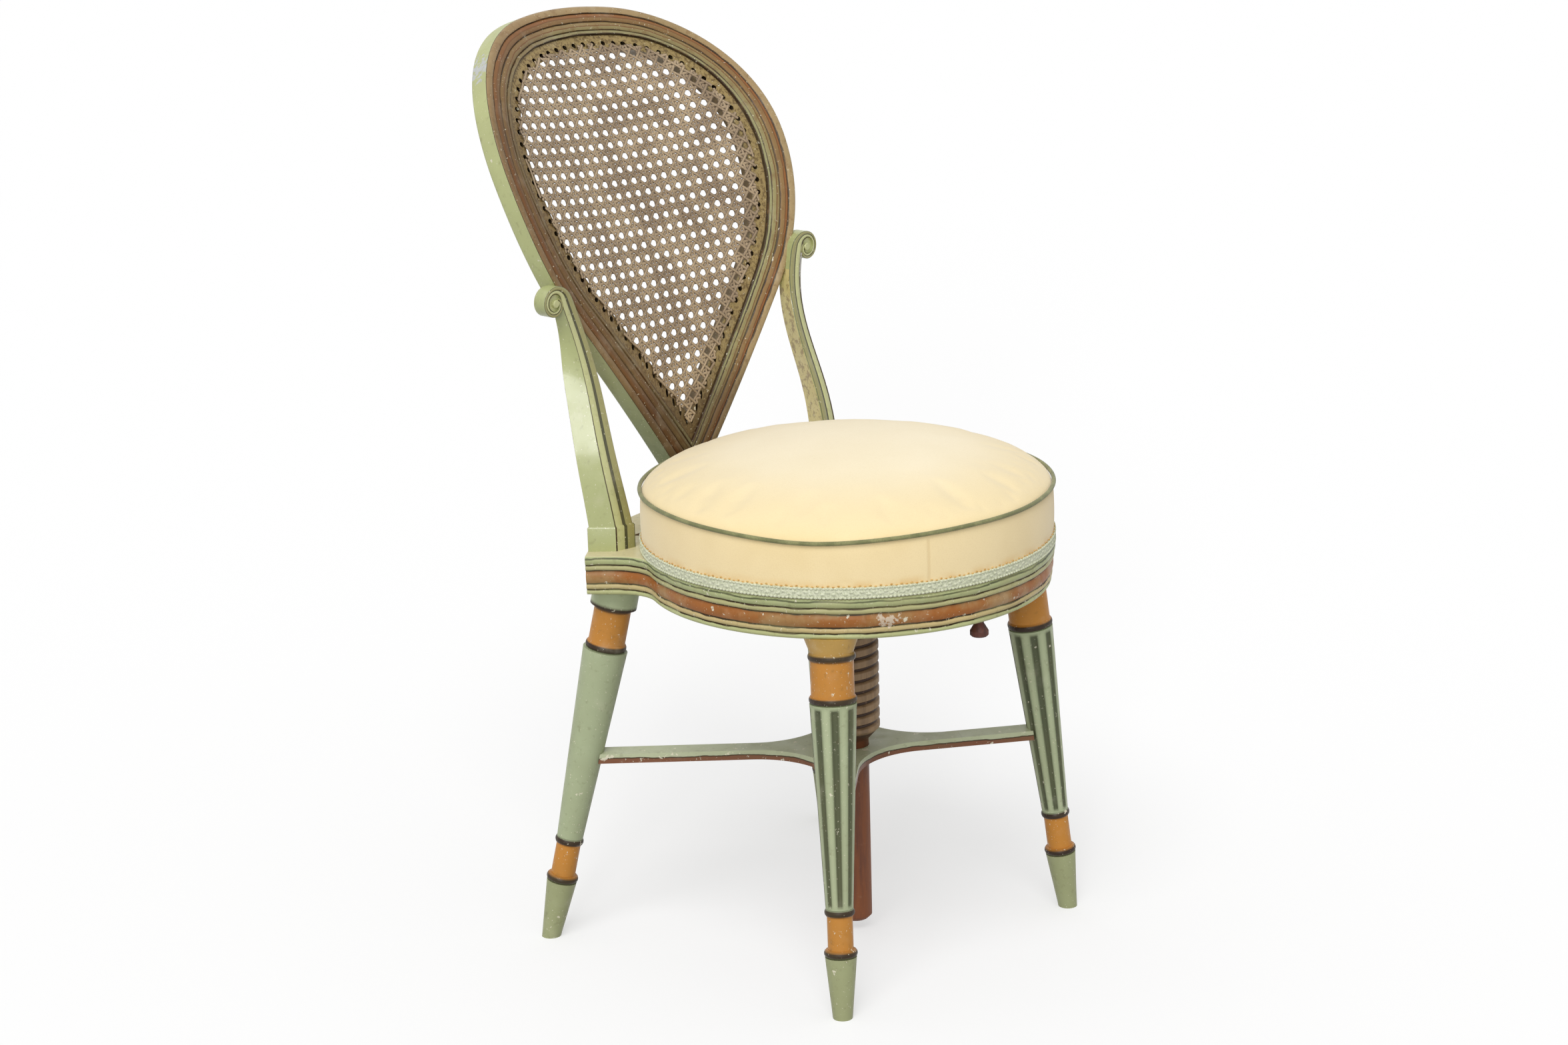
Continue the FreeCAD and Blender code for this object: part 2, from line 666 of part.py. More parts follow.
def flat_bar(out, stop, low, high):
    """A bar of the hub, from the screw's axis out to a distance."""
    corner = V(0, -N.stretcher_width / 2, low)
    bar = Part.makeBox(stop, N.stretcher_width, high - low, corner)
    bar.rotate(V(), UP, math.degrees(math.atan2(out.y, out.x)))
    return bar


def hub_shape():
    """The plate round the shank: four stubs that sweep into each other, halved for the arms."""
    low, high = N.stretcher_height, N.stretcher_height + N.stretcher_thickness
    right = [stretcher_out("front"), stretcher_out("rear")]
    outs = right + [V(-out.x, out.y, 0) for out in right]
    stubs = [flat_bar(out, N.hub_reach, low, high) for out in outs]
    plate = one_solid(stubs[0].fuse(stubs[1:]))
    inner = [edge for edge in plate.Edges if is_inner_corner(edge)]
    plate = plate.makeFillet(N.hub_sweep, inner)
    stop = N.hub_reach + N.hub_lap - N.fit
    laps = [flat_bar(out, stop, low, (low + high) / 2) for out in outs]
    plate = one_solid(plate.fuse(laps))
    bore = Part.makeCylinder(N.shank_radius + N.running, high - low, V(0, 0, low))
    return plate.cut(bore)


def is_inner_corner(edge):
    """Whether an edge is an upright corner between two of the hub's stubs."""
    start, stop = edge.Vertexes[0].Point, edge.Vertexes[-1].Point
    upright = math.hypot(start.x - stop.x, start.y - stop.y) < 1e-6
    return upright and math.hypot(start.x, start.y) < N.stretcher_width


# Wood screws


def fixing_pieces(name, place, low, through, bite, slack):
    """A wood screw pointing up, or with slack the hole for it; its head is sunk under a face."""
    sunk = low + S.running
    head_low = low - S.running if slack else sunk
    head = primitive("Cylinder", name + "_head", (*place, head_low),
                     Radius=S.fixing_head_radius + slack,
                     Height=sunk + S.fixing_head - head_low + slack)
    shank = primitive("Cylinder", name + "_shank", (*place, sunk),
                      Radius=S.fixing_radius + slack,
                      Height=through + bite - S.running + slack)
    return combined("Fuse", name, head, shank)


def fixings(name, places, low, through, bite, slack=0):
    """A node of wood screws, or with slack the holes for them."""
    pieces = []
    for index, place in enumerate(places, start=1):
        piece = "{}_{}".format(name, index)
        pieces.append(fixing_pieces(piece, place, low, through, bite, slack))
    return grouped(name, pieces)


def fixing_circle(radius):
    """Four places on the diagonals of a circle."""
    reach = radius * math.sqrt(0.5)
    back = reach * -1.0
    return [(reach, reach), (back, reach), (back, back), (reach, back)]


# Caned back. In its own frame x runs across, y up the rake and z towards the sitter.

RAKE = math.radians(N.back_rake)
BACK_PLACE = FreeCAD.Placement(FreeCAD.Matrix(
    1, 0, 0, 0,
    0, math.sin(RAKE), -math.cos(RAKE), N.back_toe_y,
    0, math.cos(RAKE), math.sin(RAKE), N.rail_top,
    0, 0, 0, 1))
BOW_AXIS_DEPTH = math.sqrt(N.bow_radius ** 2 - N.bow_middle ** 2)
BOW_MIDDLE = V(0, N.bow_middle, -BOW_AXIS_DEPTH)
CREST_HALF = math.radians(N.crest_angle)
SHOULDER_X = (N.crest_radius - N.shoulder_radius) * math.sin(CREST_HALF)
SHOULDER_Y = N.back_height - N.crest_radius + (N.crest_radius - N.shoulder_radius) * math.cos(CREST_HALF)
BACK_HALF_WIDTH = SHOULDER_X + N.shoulder_radius
PRISM_REACH = N.bow_radius / 2


def dish(across):
    """How far the hollow of the back brings a point at one side towards the sitter."""
    return N.dish_radius - math.sqrt(N.dish_radius ** 2 - across ** 2)


def back_point(across, up, depth):
    """A point at a depth behind the back's front face."""
    radius = N.bow_radius + dish(across) - depth
    return V(across, up, math.sqrt(radius ** 2 - (up - N.bow_middle) ** 2) - BOW_AXIS_DEPTH)


def slab(front, rear):
    """The dished and bowed slab between two depths behind the back's front face.

    The dish is an arc across the back, and turning it about a level axis behind the chair bows it.
    """
    half = BACK_HALF_WIDTH + N.hoop_width
    edges = []
    for depth in (front, rear):
        points = [back_point(across, N.bow_middle, depth) for across in (-half, 0, half)]
        edges.append(Part.Arc(*points).toShape())
    for side in (-half, half):
        ends = [back_point(side, N.bow_middle, depth) for depth in (front, rear)]
        edges.append(segment(*ends))
    face = Part.Face(path_wire(edges))
    reach = N.bow_radius - N.back_thickness
    below = math.degrees(math.asin((N.bow_middle + N.hoop_width) / reach))
    above = math.degrees(math.asin((N.back_height + N.hoop_width - N.bow_middle) / reach))
    face.rotate(BOW_MIDDLE, ACROSS, below)
    return face.revolve(BOW_MIDDLE, ACROSS * -1, below + above)


def teardrop(inset):
    """The outline of the back, set in by an inset: arcs above, straight sides down to a point.

    The outer outline ends in a square toe instead of a point.
    """

    def on_arc(middle, radius, angle):
        return middle + V(math.sin(angle), math.cos(angle), 0) * (radius - inset)

    shoulder = V(SHOULDER_X, SHOULDER_Y, 0)
    side = V(BACK_HALF_WIDTH - N.side_radius, SHOULDER_Y, 0)
    crest = V(0, N.back_height - N.crest_radius, 0)
    square, slant = math.pi / 2, math.radians(90 + N.toe_angle)
    crest_end = on_arc(crest, N.crest_radius, CREST_HALF)
    widest = on_arc(shoulder, N.shoulder_radius, square)
    side_end = on_arc(side, N.side_radius, slant)
    slope = math.tan(math.radians(N.toe_angle))
    apex = V(0, side_end.y - side_end.x / slope, 0)
    on_shoulder = on_arc(shoulder, N.shoulder_radius, (CREST_HALF + square) / 2)
    on_side = on_arc(side, N.side_radius, (square + slant) / 2)
    right = [Part.Arc(crest_end, on_shoulder, widest).toShape(),
             Part.Arc(widest, on_side, side_end).toShape()]
    top, crest_start = on_arc(crest, N.crest_radius, 0), on_arc(crest, N.crest_radius, -CREST_HALF)
    middle = [Part.Arc(crest_end, top, crest_start).toShape()]
    if inset > 0:
        right.append(segment(side_end, apex))
    else:
        half = N.toe_half_width - inset
        knee = V(half, apex.y + half / slope, 0)
        heel = V(half, -N.toe_height, 0)
        right += [segment(side_end, knee), segment(knee, heel)]
        middle.append(segment(heel, V(-half, heel.y, 0)))
    left = [edge.mirror(V(), ACROSS) for edge in right]
    return path_wire(middle + right + left)


def prism(*wires):
    """A prism through the slab from an outline and any outlines of holes in it."""
    face = Part.makeFace(list(wires), "Part::FaceMakerBullseye")
    face.translate(V(0, 0, -PRISM_REACH))
    return face.extrude(V(0, 0, 2 * PRISM_REACH))


def back_block(left, right, low, high):
    """A block through the slab, in the back's own frame."""
    return Part.makeBox(right - left, high - low, 2 * PRISM_REACH, V(left, low, -PRISM_REACH))


def stood(shape):
    """A shape from the back's own frame, set up at the rear of the seat frame."""
    return shape.transformed(BACK_PLACE.toMatrix(), True)


def hoop_shape():
    """The whole hoop: reeds on its front face and a recessed border for the cane."""
    hoop = slab(0, N.back_thickness).common(prism(teardrop(0), teardrop(N.hoop_width)))
    border = slab(N.border_recess, N.border_recess + N.border_thickness)
    inner = N.hoop_width + N.border_width
    border = border.common(prism(teardrop(N.hoop_width - N.reed_relief), teardrop(inner)))
    hoop = hoop.fuse(border)
    skim = slab(-N.groove_depth, N.groove_depth)
    for line in (1, 2, 3):
        edge = line * N.reed_pitch - N.groove_width
        hoop = hoop.cut(skim.common(prism(teardrop(edge), teardrop(edge + N.groove_width))))
    return one_solid(hoop)


def cane_shape():
    """The woven panel, as one sheet with a square mesh of openings, laid on the border."""
    rim = N.hoop_width + N.border_width + N.cane_hole / math.sqrt(2)
    inside = Part.Face(teardrop(rim))
    half = N.cane_hole / 2
    columns = int(BACK_HALF_WIDTH / N.cane_pitch)
    rows = int(N.back_height / N.cane_pitch)
    square = [V(-half, -half, 0), V(half, -half, 0), V(half, half, 0), V(-half, half, 0)]
    openings = []
    for row in range(rows):
        for column in range(-columns, columns + 1):
            middle = V(column * N.cane_pitch, row * N.cane_pitch, 0)
            if inside.isInside(middle, N.fit, True):
                corners = [middle + corner for corner in square]
                openings.append(Part.makePolygon(corners + corners[:1]))
    rear = N.border_recess - N.fit
    sheet_slab = slab(rear - N.cane_thickness, rear)
    return one_solid(sheet_slab.common(prism(teardrop(N.hoop_width + N.fit), *openings)))


def hoop_dowel_places():
    """Right-hand dowels of the hoop, in the chair's frame: one at the shoulder, one in the toe."""
    middle = N.back_thickness / 2
    shoulder = back_point(BACK_HALF_WIDTH - N.hoop_width / 2, SHOULDER_Y, middle)
    toe = back_point(N.toe_dowel_spread / 2, N.toe_height, middle)
    rising = BACK_PLACE.Rotation
    places = []
    for point in (shoulder, toe):
        slope = V(0, point.z + BOW_AXIS_DEPTH, N.bow_middle - point.y)
        places.append((BACK_PLACE.multVec(point), rising.multVec(slope)))
    return places


def toe_tenon(slack):
    """The tenon under the toe block, or with slack its mortise in the back rail."""
    width, thick = N.toe_tenon_width + 2 * slack, N.toe_tenon_thickness + 2 * slack
    middle = N.back_toe_y + N.back_thickness / 2
    length = N.toe_tenon_length + slack
    return Part.makeBox(width, thick, length, V(-width / 2, middle - thick / 2, N.rail_top - length))


# Arms


def arm_corners(share, margin=0.0):
    """Plan of the right arm at a share of its rise: outer rear, front, inner front, inner rear."""
    scale = 1 - N.arm_taper * share
    front = V(N.arm_x, N.arm_y + N.arm_sweep * share ** 1.5, 0)
    offsets = [V(N.arm_side_x + margin, N.arm_side_y, 0), V(margin, -margin, 0),
               V(-N.arm_face_x - margin, -N.arm_face_y - margin, 0),
               V(-N.arm_rear_x - margin, N.arm_rear_y + margin, 0)]
    return [front + offset * scale for offset in offsets]


def arm_wire(share, height, margin=0.0):
    corners = [corner + UP * height for corner in arm_corners(share, margin)]
    return Part.makePolygon(corners + corners[:1])


def arm_shape():
    """The right arm: a plinth, a stem that sweeps back, and a scroll rolled outwards."""
    plinth = Part.Face(arm_wire(0, N.rail_top, N.plinth_margin)).extrude(UP * N.plinth_height)
    base = N.rail_top + N.plinth_height
    shares = [0, 0.25, 0.5, 0.75, 1, 1 + N.arm_cap / N.arm_rise]
    stem = Part.makeLoft([arm_wire(share, base + N.arm_rise * share) for share in shares], True, False)
    front = arm_corners(1)[1]
    middle = V(front.x + N.scroll_out, front.y - N.scroll_depth / 4, base + N.arm_rise + N.scroll_rise)
    scroll = Part.makeCylinder(N.scroll_radius, N.scroll_depth, middle, V(0, 1, 0))
    arm = plinth.fuse([stem, scroll])
    return one_solid(arm.cut(stood(prism(teardrop(-N.fit)))))


def arm_dowel_places():
    corners = arm_corners(0)
    middle = (corners[0] + corners[1] + corners[3]) * (1 / 3)
    return [(middle + UP * N.rail_top, UP)]


# The back is made first: the rear of its crest and the front rail set the chair's middle.

hoop = stood(hoop_shape())
front_reach = max(N.rail_radius, N.seat_radius + N.fit + N.gimp_thickness)
last_row = len(SIZES) + 1
sheet.set("A{}".format(last_row), "the screw's axis, back from the middle of the chair")
sheet.set("B{}".format(last_row), str((front_reach - hoop.BoundBox.YMax) / 2))
sheet.setAlias("B{}".format(last_row), "screw_y")
doc.recompute()

# Seat frame

level_space = primitive("Box", "level_space", (S.rail_radius * -2.0, S.rail_radius * -2.0, None),
                        Length=S.rail_radius * 4, Width=S.rail_radius * 4, Height=RAIL_LOW)
sockets = [leg_socket(row) for row in FEET]
side_rail = side_rail_shape().cut(sockets)
front_rail = front_rail_shape().cut(sockets + [socket.mirror(V(), ACROSS) for socket in sockets])
bar_reach = S.rail_radius - S.rail_width + S.bar_housing
housing_reach, housing_half = float(bar_reach) + N.fit, N.bar_width / 2 + N.fit
housing_low, housing_top = float(RAIL_LOW) - N.fit, float(BAR_TOP) + N.fit
housing = Part.makeBox(2 * housing_reach, 2 * housing_half, housing_top - housing_low,
                       V(-housing_reach, -housing_half, housing_low))
side_rail = side_rail.cut(housing)
rail_pegs = rail_dowel_places()
arm_pegs = arm_dowel_places()
side_rail = holed(holed(side_rail, rail_pegs, N.rail_dowel_length), arm_pegs, N.arm_dowel_length)
front_rail = holed(front_rail, both_sides(rail_pegs), N.rail_dowel_length)
back_rail = holed(back_rail_shape().cut(toe_tenon(N.fit)), both_sides(rail_pegs), N.rail_dowel_length)

knob_y = -math.sqrt((N.rail_radius - N.knob_inset) ** 2 - N.knob_x ** 2)
knob_hole = Part.makeCylinder(N.knob_stem_radius + N.fit, N.knob_stem_length + N.fit,
                              V(N.knob_x, knob_y, float(RAIL_LOW)))
front_rail = front_rail.cut(knob_hole)

bar_screw_x = bar_reach - S.bar_housing / 2
bar_screw_y = S.bar_screw_spread / 2
bar_screw_places = [(bar_screw_x * side, bar_screw_y * end) for side in (-1, 1) for end in (-1, 1)]
for x, y in bar_screw_places:
    start = V(float(x), float(y), float(BAR_TOP))
    hole = Part.makeCylinder(N.fixing_radius + N.fit, N.bar_screw_bite + 2 * N.fit, start)
    side_rail = side_rail.cut(hole)

formed("front_rail", front_rail)
rail_right = formed("rail_right", side_rail)
mirrored("rail_left", rail_right)
formed("back_rail", back_rail)
dowels("rail_dowels", both_sides(rail_pegs), S.rail_dowel_length)

# Legs and stretcher

for row in FEET:
    right_leg = keep(leg(row), "leg_{}_right".format(row))
    right_arm = keep(stretcher_arm(row), "stretcher_{}_right".format(row))
    mirrored("leg_{}_left".format(row), right_leg)
    mirrored("stretcher_{}_left".format(row), right_arm)
formed("stretcher_hub", hub_shape())

# Cross bar, nut and their screws

bar_blank = primitive("Box", "bar_blank", (bar_reach * -1, S.bar_width / -2, BAR_LOW),
                      Length=bar_reach * 2, Width=S.bar_width, Height=S.bar_thickness)
bar_bore = primitive("Cylinder", "bar_bore", (None, None, BAR_LOW),
                     Radius=S.bar_hole, Height=S.bar_thickness)
bar_bored = combined("Cut", "bar_bored", bar_blank, bar_bore)
nut_places = fixing_circle(S.nut_screw_circle)
nut_holes = fixings("nut_holes", nut_places, NUT_LOW, S.nut_depth, S.fixing_bite, S.fit)
bar_holes = fixings("bar_holes", bar_screw_places, BAR_LOW, S.bar_thickness, S.bar_screw_bite, S.fit)
bar_drilled = combined("Cut", "bar_drilled", bar_bored, nut_holes)
keep(combined("Cut", "cross_bar", bar_drilled, bar_holes), "cross_bar")
nut_blank = turned("nut_blank", ring(S.thread_radius + S.running, S.nut_radius, NUT_LOW, BAR_LOW))
keep(combined("Cut", "screw_nut", nut_blank, nut_holes), "screw_nut")
keep(fixings("nut_screws", nut_places, NUT_LOW, S.nut_depth, S.fixing_bite), "nut_screws")
keep(fixings("bar_screws", bar_screw_places, BAR_LOW, S.bar_thickness, S.bar_screw_bite), "bar_screws")

# Back and arms

space = 4 * N.rail_radius
above_rail = Part.makeBox(space, space, space, V(-space / 2, 0, N.rail_top))
hoop_pegs = both_sides(hoop_dowel_places())
hoop = holed(hoop.common(above_rail), hoop_pegs, N.hoop_dowel_length)
wide = 2 * BACK_HALF_WIDTH
crest_block = stood(back_block(-wide, wide, SHOULDER_Y, 2 * N.back_height))
stile_block = stood(back_block(0, wide, N.toe_height, SHOULDER_Y))
toe_block = stood(back_block(-wide, wide, -N.toe_height, N.toe_height))
formed("back_crest", one_solid(hoop.common(crest_block)))
stile = formed("back_stile_right", one_solid(hoop.common(stile_block)))
mirrored("back_stile_left", stile)
formed("back_toe", one_solid(hoop.common(toe_block).fuse(toe_tenon(0))))
dowels("hoop_dowels", hoop_pegs, S.hoop_dowel_length)
formed("cane_panel", stood(cane_shape()))
arm = formed("arm_right", holed(arm_shape(), arm_pegs, N.arm_dowel_length))
mirrored("arm_left", arm)
dowels("arm_dowels", both_sides(arm_pegs), S.arm_dowel_length)

# Knob under the front rail

knob_low = RAIL_LOW - S.knob_height
knob_rim_low = knob_low + S.knob_edge
knob_rim_top = knob_rim_low + S.knob_rim
knob_top = RAIL_LOW + S.knob_stem_length
knob = turned("knob_turning", [
    (None, knob_low), (S.knob_radius - S.knob_edge, knob_low), (S.knob_radius, knob_rim_low),
    (S.knob_radius, knob_rim_top), (S.knob_stem_radius, RAIL_LOW - S.knob_rim),
    (S.knob_stem_radius, knob_top), (None, knob_top)])
knob.setExpression("Placement.Base.x", text_of(S.knob_x))
knob.setExpression("Placement.Base.y", repr(knob_y))
keep(grouped("underside_knob", [knob]), "underside_knob")

# Screw, washer and seat

washer_ring = ring(S.bar_hole, S.washer_radius, WASHER_LOW, FLANGE_LOW - S.fit)
keep(turned("lift_washer", washer_ring), "lift_washer")
keep(turned("seat_screw", [
    (None, S.shank_low), (S.shank_radius - S.shank_chamfer, S.shank_low),
    (S.shank_radius, S.shank_low + S.shank_chamfer), (S.shank_radius, S.thread_low - S.thread_taper),
    (S.thread_radius, S.thread_low), (S.thread_radius, FLANGE_LOW), (S.screw_tenon_radius, FLANGE_LOW),
    (S.screw_tenon_radius, BOARD_LOW), (None, BOARD_LOW)]), "seat_screw")
flange_places = fixing_circle(S.flange_screw_circle)
flange_bite = S.flange_screw_length - S.flange_thickness
flange_sizes = (flange_places, FLANGE_LOW, S.flange_thickness, flange_bite)
flange_holes = fixings("flange_holes", *flange_sizes, S.fit)
flange_ring = ring(S.screw_tenon_radius + S.fit, S.flange_radius, FLANGE_LOW, BOARD_LOW)
flange_blank = turned("flange_blank", flange_ring)
keep(combined("Cut", "seat_flange", flange_blank, flange_holes), "seat_flange")
keep(fixings("flange_screws", *flange_sizes), "flange_screws")

pad_radius = S.seat_radius - S.cloth - S.fit
board_blank = primitive("Cylinder", "board_blank", (None, None, BOARD_LOW), Radius=pad_radius,
                        Height=S.board_thickness)
keep(combined("Cut", "seat_board", board_blank, flange_holes), "seat_board")

# Cushion: padding under a crowned cover, boxing round its side, piping and braid

welt_low = S.welt_height - S.welt_radius
welt_ring = S.seat_radius - S.fit * 4
cover_radius = welt_ring - S.welt_radius - S.fit * 2
cover_low = welt_low - S.fit
gimp_low = BOARD_LOW + S.fit
pad_edge = cover_low - S.fit
cover_edge = cover_low + S.cloth

# The crown is a dome about the axis, and a tighter arc leads from it down to the seam.
dome_rise = S.crown - S.shoulder_rise
dome_curve = (S.shoulder_ring * S.shoulder_ring + dome_rise * dome_rise) / (dome_rise * 2)
lean_sine = S.shoulder_ring / dome_curve
lean_cosine = (dome_curve - dome_rise) / dome_curve
step_in = cover_radius - S.shoulder_ring
chord_square = step_in * step_in + S.shoulder_rise * S.shoulder_rise
arc_radius = chord_square / ((S.shoulder_rise * lean_cosine - step_in * lean_sine) * 2)
arc_middle = S.shoulder_ring - arc_radius * lean_sine

keep(turned("seat_padding", [
    (None, BOARD_TOP), (cover_radius, BOARD_TOP), (cover_radius, pad_edge),
    (S.shoulder_ring, pad_edge + S.shoulder_rise, arc_middle),
    (None, pad_edge + S.crown, AXIS)]), "seat_padding")
keep(turned("seat_cover", [
    (None, cover_low + S.crown), (S.shoulder_ring, cover_low + S.shoulder_rise, AXIS),
    (cover_radius, cover_low, arc_middle), (cover_radius, cover_edge),
    (S.shoulder_ring, cover_edge + S.shoulder_rise, arc_middle),
    (None, cover_edge + S.crown, AXIS)]), "seat_cover")
boxing_half = (welt_low - S.fit - gimp_low - S.gimp_height) / 2
boxing_curve = (boxing_half * boxing_half + S.boxing_swell * S.boxing_swell) / (S.boxing_swell * 2)
gimp_top = gimp_low + S.gimp_height
keep(turned("seat_boxing", [
    (S.seat_radius - S.cloth, gimp_low), (S.seat_radius, gimp_low), (S.seat_radius, gimp_top),
    (S.seat_radius, welt_low - S.fit, S.seat_radius + S.boxing_swell - boxing_curve),
    (S.seat_radius - S.cloth, welt_low - S.fit)]), "seat_boxing")
gimp_inner = S.seat_radius + S.fit
gimp_ring = ring(gimp_inner, gimp_inner + S.gimp_thickness, gimp_low, gimp_top)
keep(turned("seat_gimp", gimp_ring), "seat_gimp")
piping = primitive("Torus", "seat_piping", (None, None, S.welt_height),
                   Radius1=welt_ring, Radius2=S.welt_radius)
keep(piping, "seat_piping")

# Check every object, then write the pieces

doc.recompute()
failed = [obj.Name for obj in doc.Objects if "Invalid" in obj.State or "Error" in obj.State]
failed += [obj.Label for obj in parts if obj.Shape.isNull() or not obj.Shape.isValid()]
if failed:
    raise RuntimeError("These objects failed: " + ", ".join(failed))
os.makedirs("parts", exist_ok=True)
for obj in parts:
    obj.Shape.exportStep("parts/{}.step".format(obj.Label))
print("{} pieces written".format(len(parts)))
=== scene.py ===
import json
import math

import bpy
import numpy as np
from mathutils import Matrix, Vector

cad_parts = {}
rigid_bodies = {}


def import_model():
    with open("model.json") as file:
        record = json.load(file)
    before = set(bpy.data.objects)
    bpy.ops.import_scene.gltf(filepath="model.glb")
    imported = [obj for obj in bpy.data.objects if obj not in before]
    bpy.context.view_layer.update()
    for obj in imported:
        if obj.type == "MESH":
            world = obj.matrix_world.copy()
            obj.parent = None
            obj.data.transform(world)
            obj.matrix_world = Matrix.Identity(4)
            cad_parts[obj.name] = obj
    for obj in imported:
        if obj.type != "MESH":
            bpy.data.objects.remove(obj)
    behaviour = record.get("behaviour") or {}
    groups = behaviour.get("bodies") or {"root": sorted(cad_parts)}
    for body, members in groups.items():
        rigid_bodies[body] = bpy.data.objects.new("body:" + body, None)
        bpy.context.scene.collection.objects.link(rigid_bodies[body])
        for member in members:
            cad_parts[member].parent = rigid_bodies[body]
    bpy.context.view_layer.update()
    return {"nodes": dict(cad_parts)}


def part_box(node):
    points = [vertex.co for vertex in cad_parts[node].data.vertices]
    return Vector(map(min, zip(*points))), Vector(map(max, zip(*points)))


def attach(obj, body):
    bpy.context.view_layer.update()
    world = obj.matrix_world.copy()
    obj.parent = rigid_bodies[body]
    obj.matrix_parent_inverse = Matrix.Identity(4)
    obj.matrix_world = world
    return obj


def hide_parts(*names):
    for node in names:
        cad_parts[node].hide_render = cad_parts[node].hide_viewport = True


# A painted music chair: caned teardrop back, round revolving cushion on a wooden screw, turned and
# fluted legs. Sizes are in millimetres about the axis of the seat's screw; to_row turns them into
# metres in the row's own frame.

for obj in list(bpy.data.objects):
    bpy.data.objects.remove(obj)

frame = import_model()
nodes = frame["nodes"]

MM = 0.001
SCREW_LOW, SCREW_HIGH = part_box("seat_screw")
SCREW_Y = (SCREW_LOW.y + SCREW_HIGH.y) / 2


def to_row(points):
    """Points about the screw's axis, in millimetres, as metres in the row's frame."""
    points = np.asarray(points, float) * MM
    points[..., 1] += SCREW_Y
    return points


def limited(share):
    return min(max(share, 0.0), 1.0)


# Meshes

UP = np.array([0.0, 0.0, 1.0])


def full_turn(count):
    """Even angles round a circle."""
    return 2 * np.pi * np.arange(count) / count


def around(radius, turn, height):
    """A point at a distance from the screw's axis."""
    return radius * math.cos(turn), radius * math.sin(turn), height


def add_object(name, data):
    obj = bpy.data.objects.new(name, data)
    bpy.context.scene.collection.objects.link(obj)
    return obj


def add_mesh(name, points, faces, material, sharp=None, attributes=None):
    """A new object from points in millimetres about the screw's axis."""
    mesh = bpy.data.meshes.new(name)
    mesh.from_pydata(to_row(points).tolist(), [], faces)
    mesh.validate()
    mesh.polygons.foreach_set("use_smooth", [True] * len(mesh.polygons))
    for label, values in (attributes or {}).items():
        layer = mesh.attributes.new(label, "FLOAT", "POINT")
        layer.data.foreach_set("value", np.asarray(values, float).ravel())
    if sharp is not None:
        mesh.set_sharp_from_angle(angle=math.radians(sharp))
    mesh.materials.append(material)
    mesh.update()
    return add_object(name, mesh)


def grid_faces(rows, columns, start=0, wrap_rows=False, wrap_columns=False):
    """Quads over a grid of points that is stored row by row."""
    faces = []
    for row in range(rows if wrap_rows else rows - 1):
        below = start + row * columns
        above = start + (row + 1) % rows * columns
        for column in range(columns if wrap_columns else columns - 1):
            after = (column + 1) % columns
            faces.append((below + column, below + after, above + after, above + column))
    return faces


def tube_faces(rows, columns):
    """Quads round a tube of rings, with its two ends."""
    last = (rows - 1) * columns
    ends = [tuple(reversed(range(columns))), tuple(range(last, last + columns))]
    return grid_faces(rows, columns, wrap_columns=True) + ends


class Parts:
    """Collects pieces of geometry, with their attributes, into one mesh."""

    def __init__(self):
        self.points = []
        self.faces = []
        self.values = {}
        self.count = 0

    def add(self, points, faces, **values):
        points = np.asarray(points, float).reshape(-1, 3)
        self.faces += [tuple(index + self.count for index in face) for face in faces]
        for label, value in values.items():
            filled = np.broadcast_to(np.asarray(value, float).ravel(), (len(points),))
            self.values.setdefault(label, []).append(filled)
        self.points.append(points)
        self.count += len(points)

    def build(self, name, material, sharp=None):
        attributes = {label: np.concatenate(rows) for label, rows in self.values.items()}
        return add_mesh(name, np.concatenate(self.points), self.faces, material, sharp, attributes)


# Node materials


def rgb(red, green, blue):
    """A colour as it looks on a screen, from 0 to 255, as linear light."""
    linear = []
    for channel in (red, green, blue):
        share = channel / 255
        linear.append(share / 12.92 if share <= 0.04045 else ((share + 0.055) / 1.055) ** 2.4)
    return (*linear, 1.0)


def grey(level):
    return (level, level, level, 1.0)


SAGE = rgb(174, 181, 131)
SAGE_LIGHT = rgb(188, 193, 138)
SAGE_GREY = rgb(172, 182, 146)
# Painted shade: the legs' feet, nearest the floor, in a darker green.
SAGE_FOOT_SHADED = rgb(162, 167, 125)
TERRACOTTA = rgb(158, 96, 42)
ORANGE = rgb(198, 134, 56)
TAN = rgb(198, 178, 126)
TAN_GREEN = rgb(180, 176, 126)
DARK = rgb(62, 46, 30)
OLIVE = rgb(84, 90, 60)
RING_DARK = rgb(44, 27, 17)
UNDERCOAT = rgb(226, 220, 196)
SMOKE = rgb(112, 104, 66)
GRIME = rgb(88, 76, 46)
CHIP_EDGE = 0.035
PAINT_SHINE = 0.28
FACING_IN = -40.0


class Tree:
    """Builds up a node tree."""

    def __init__(self, tree):
        self.tree = tree

    def node(self, kind, *values, **settings):
        """A new node, with values or links for its sockets in order; None leaves one as it is."""
        made = self.tree.nodes.new(kind)
        for label, value in settings.items():
            setattr(made, label, value)
        for socket, value in zip(made.inputs, values):
            if value is not None:
                self.put(socket, value)
        return made

    def put(self, socket, value):
        if isinstance(value, bpy.types.NodeSocket):
            self.tree.links.new(value, socket)
        else:
            socket.default_value = value

    def math(self, operation, first, second=0.0):
        return self.node("ShaderNodeMath", first, second, operation=operation).outputs[0]


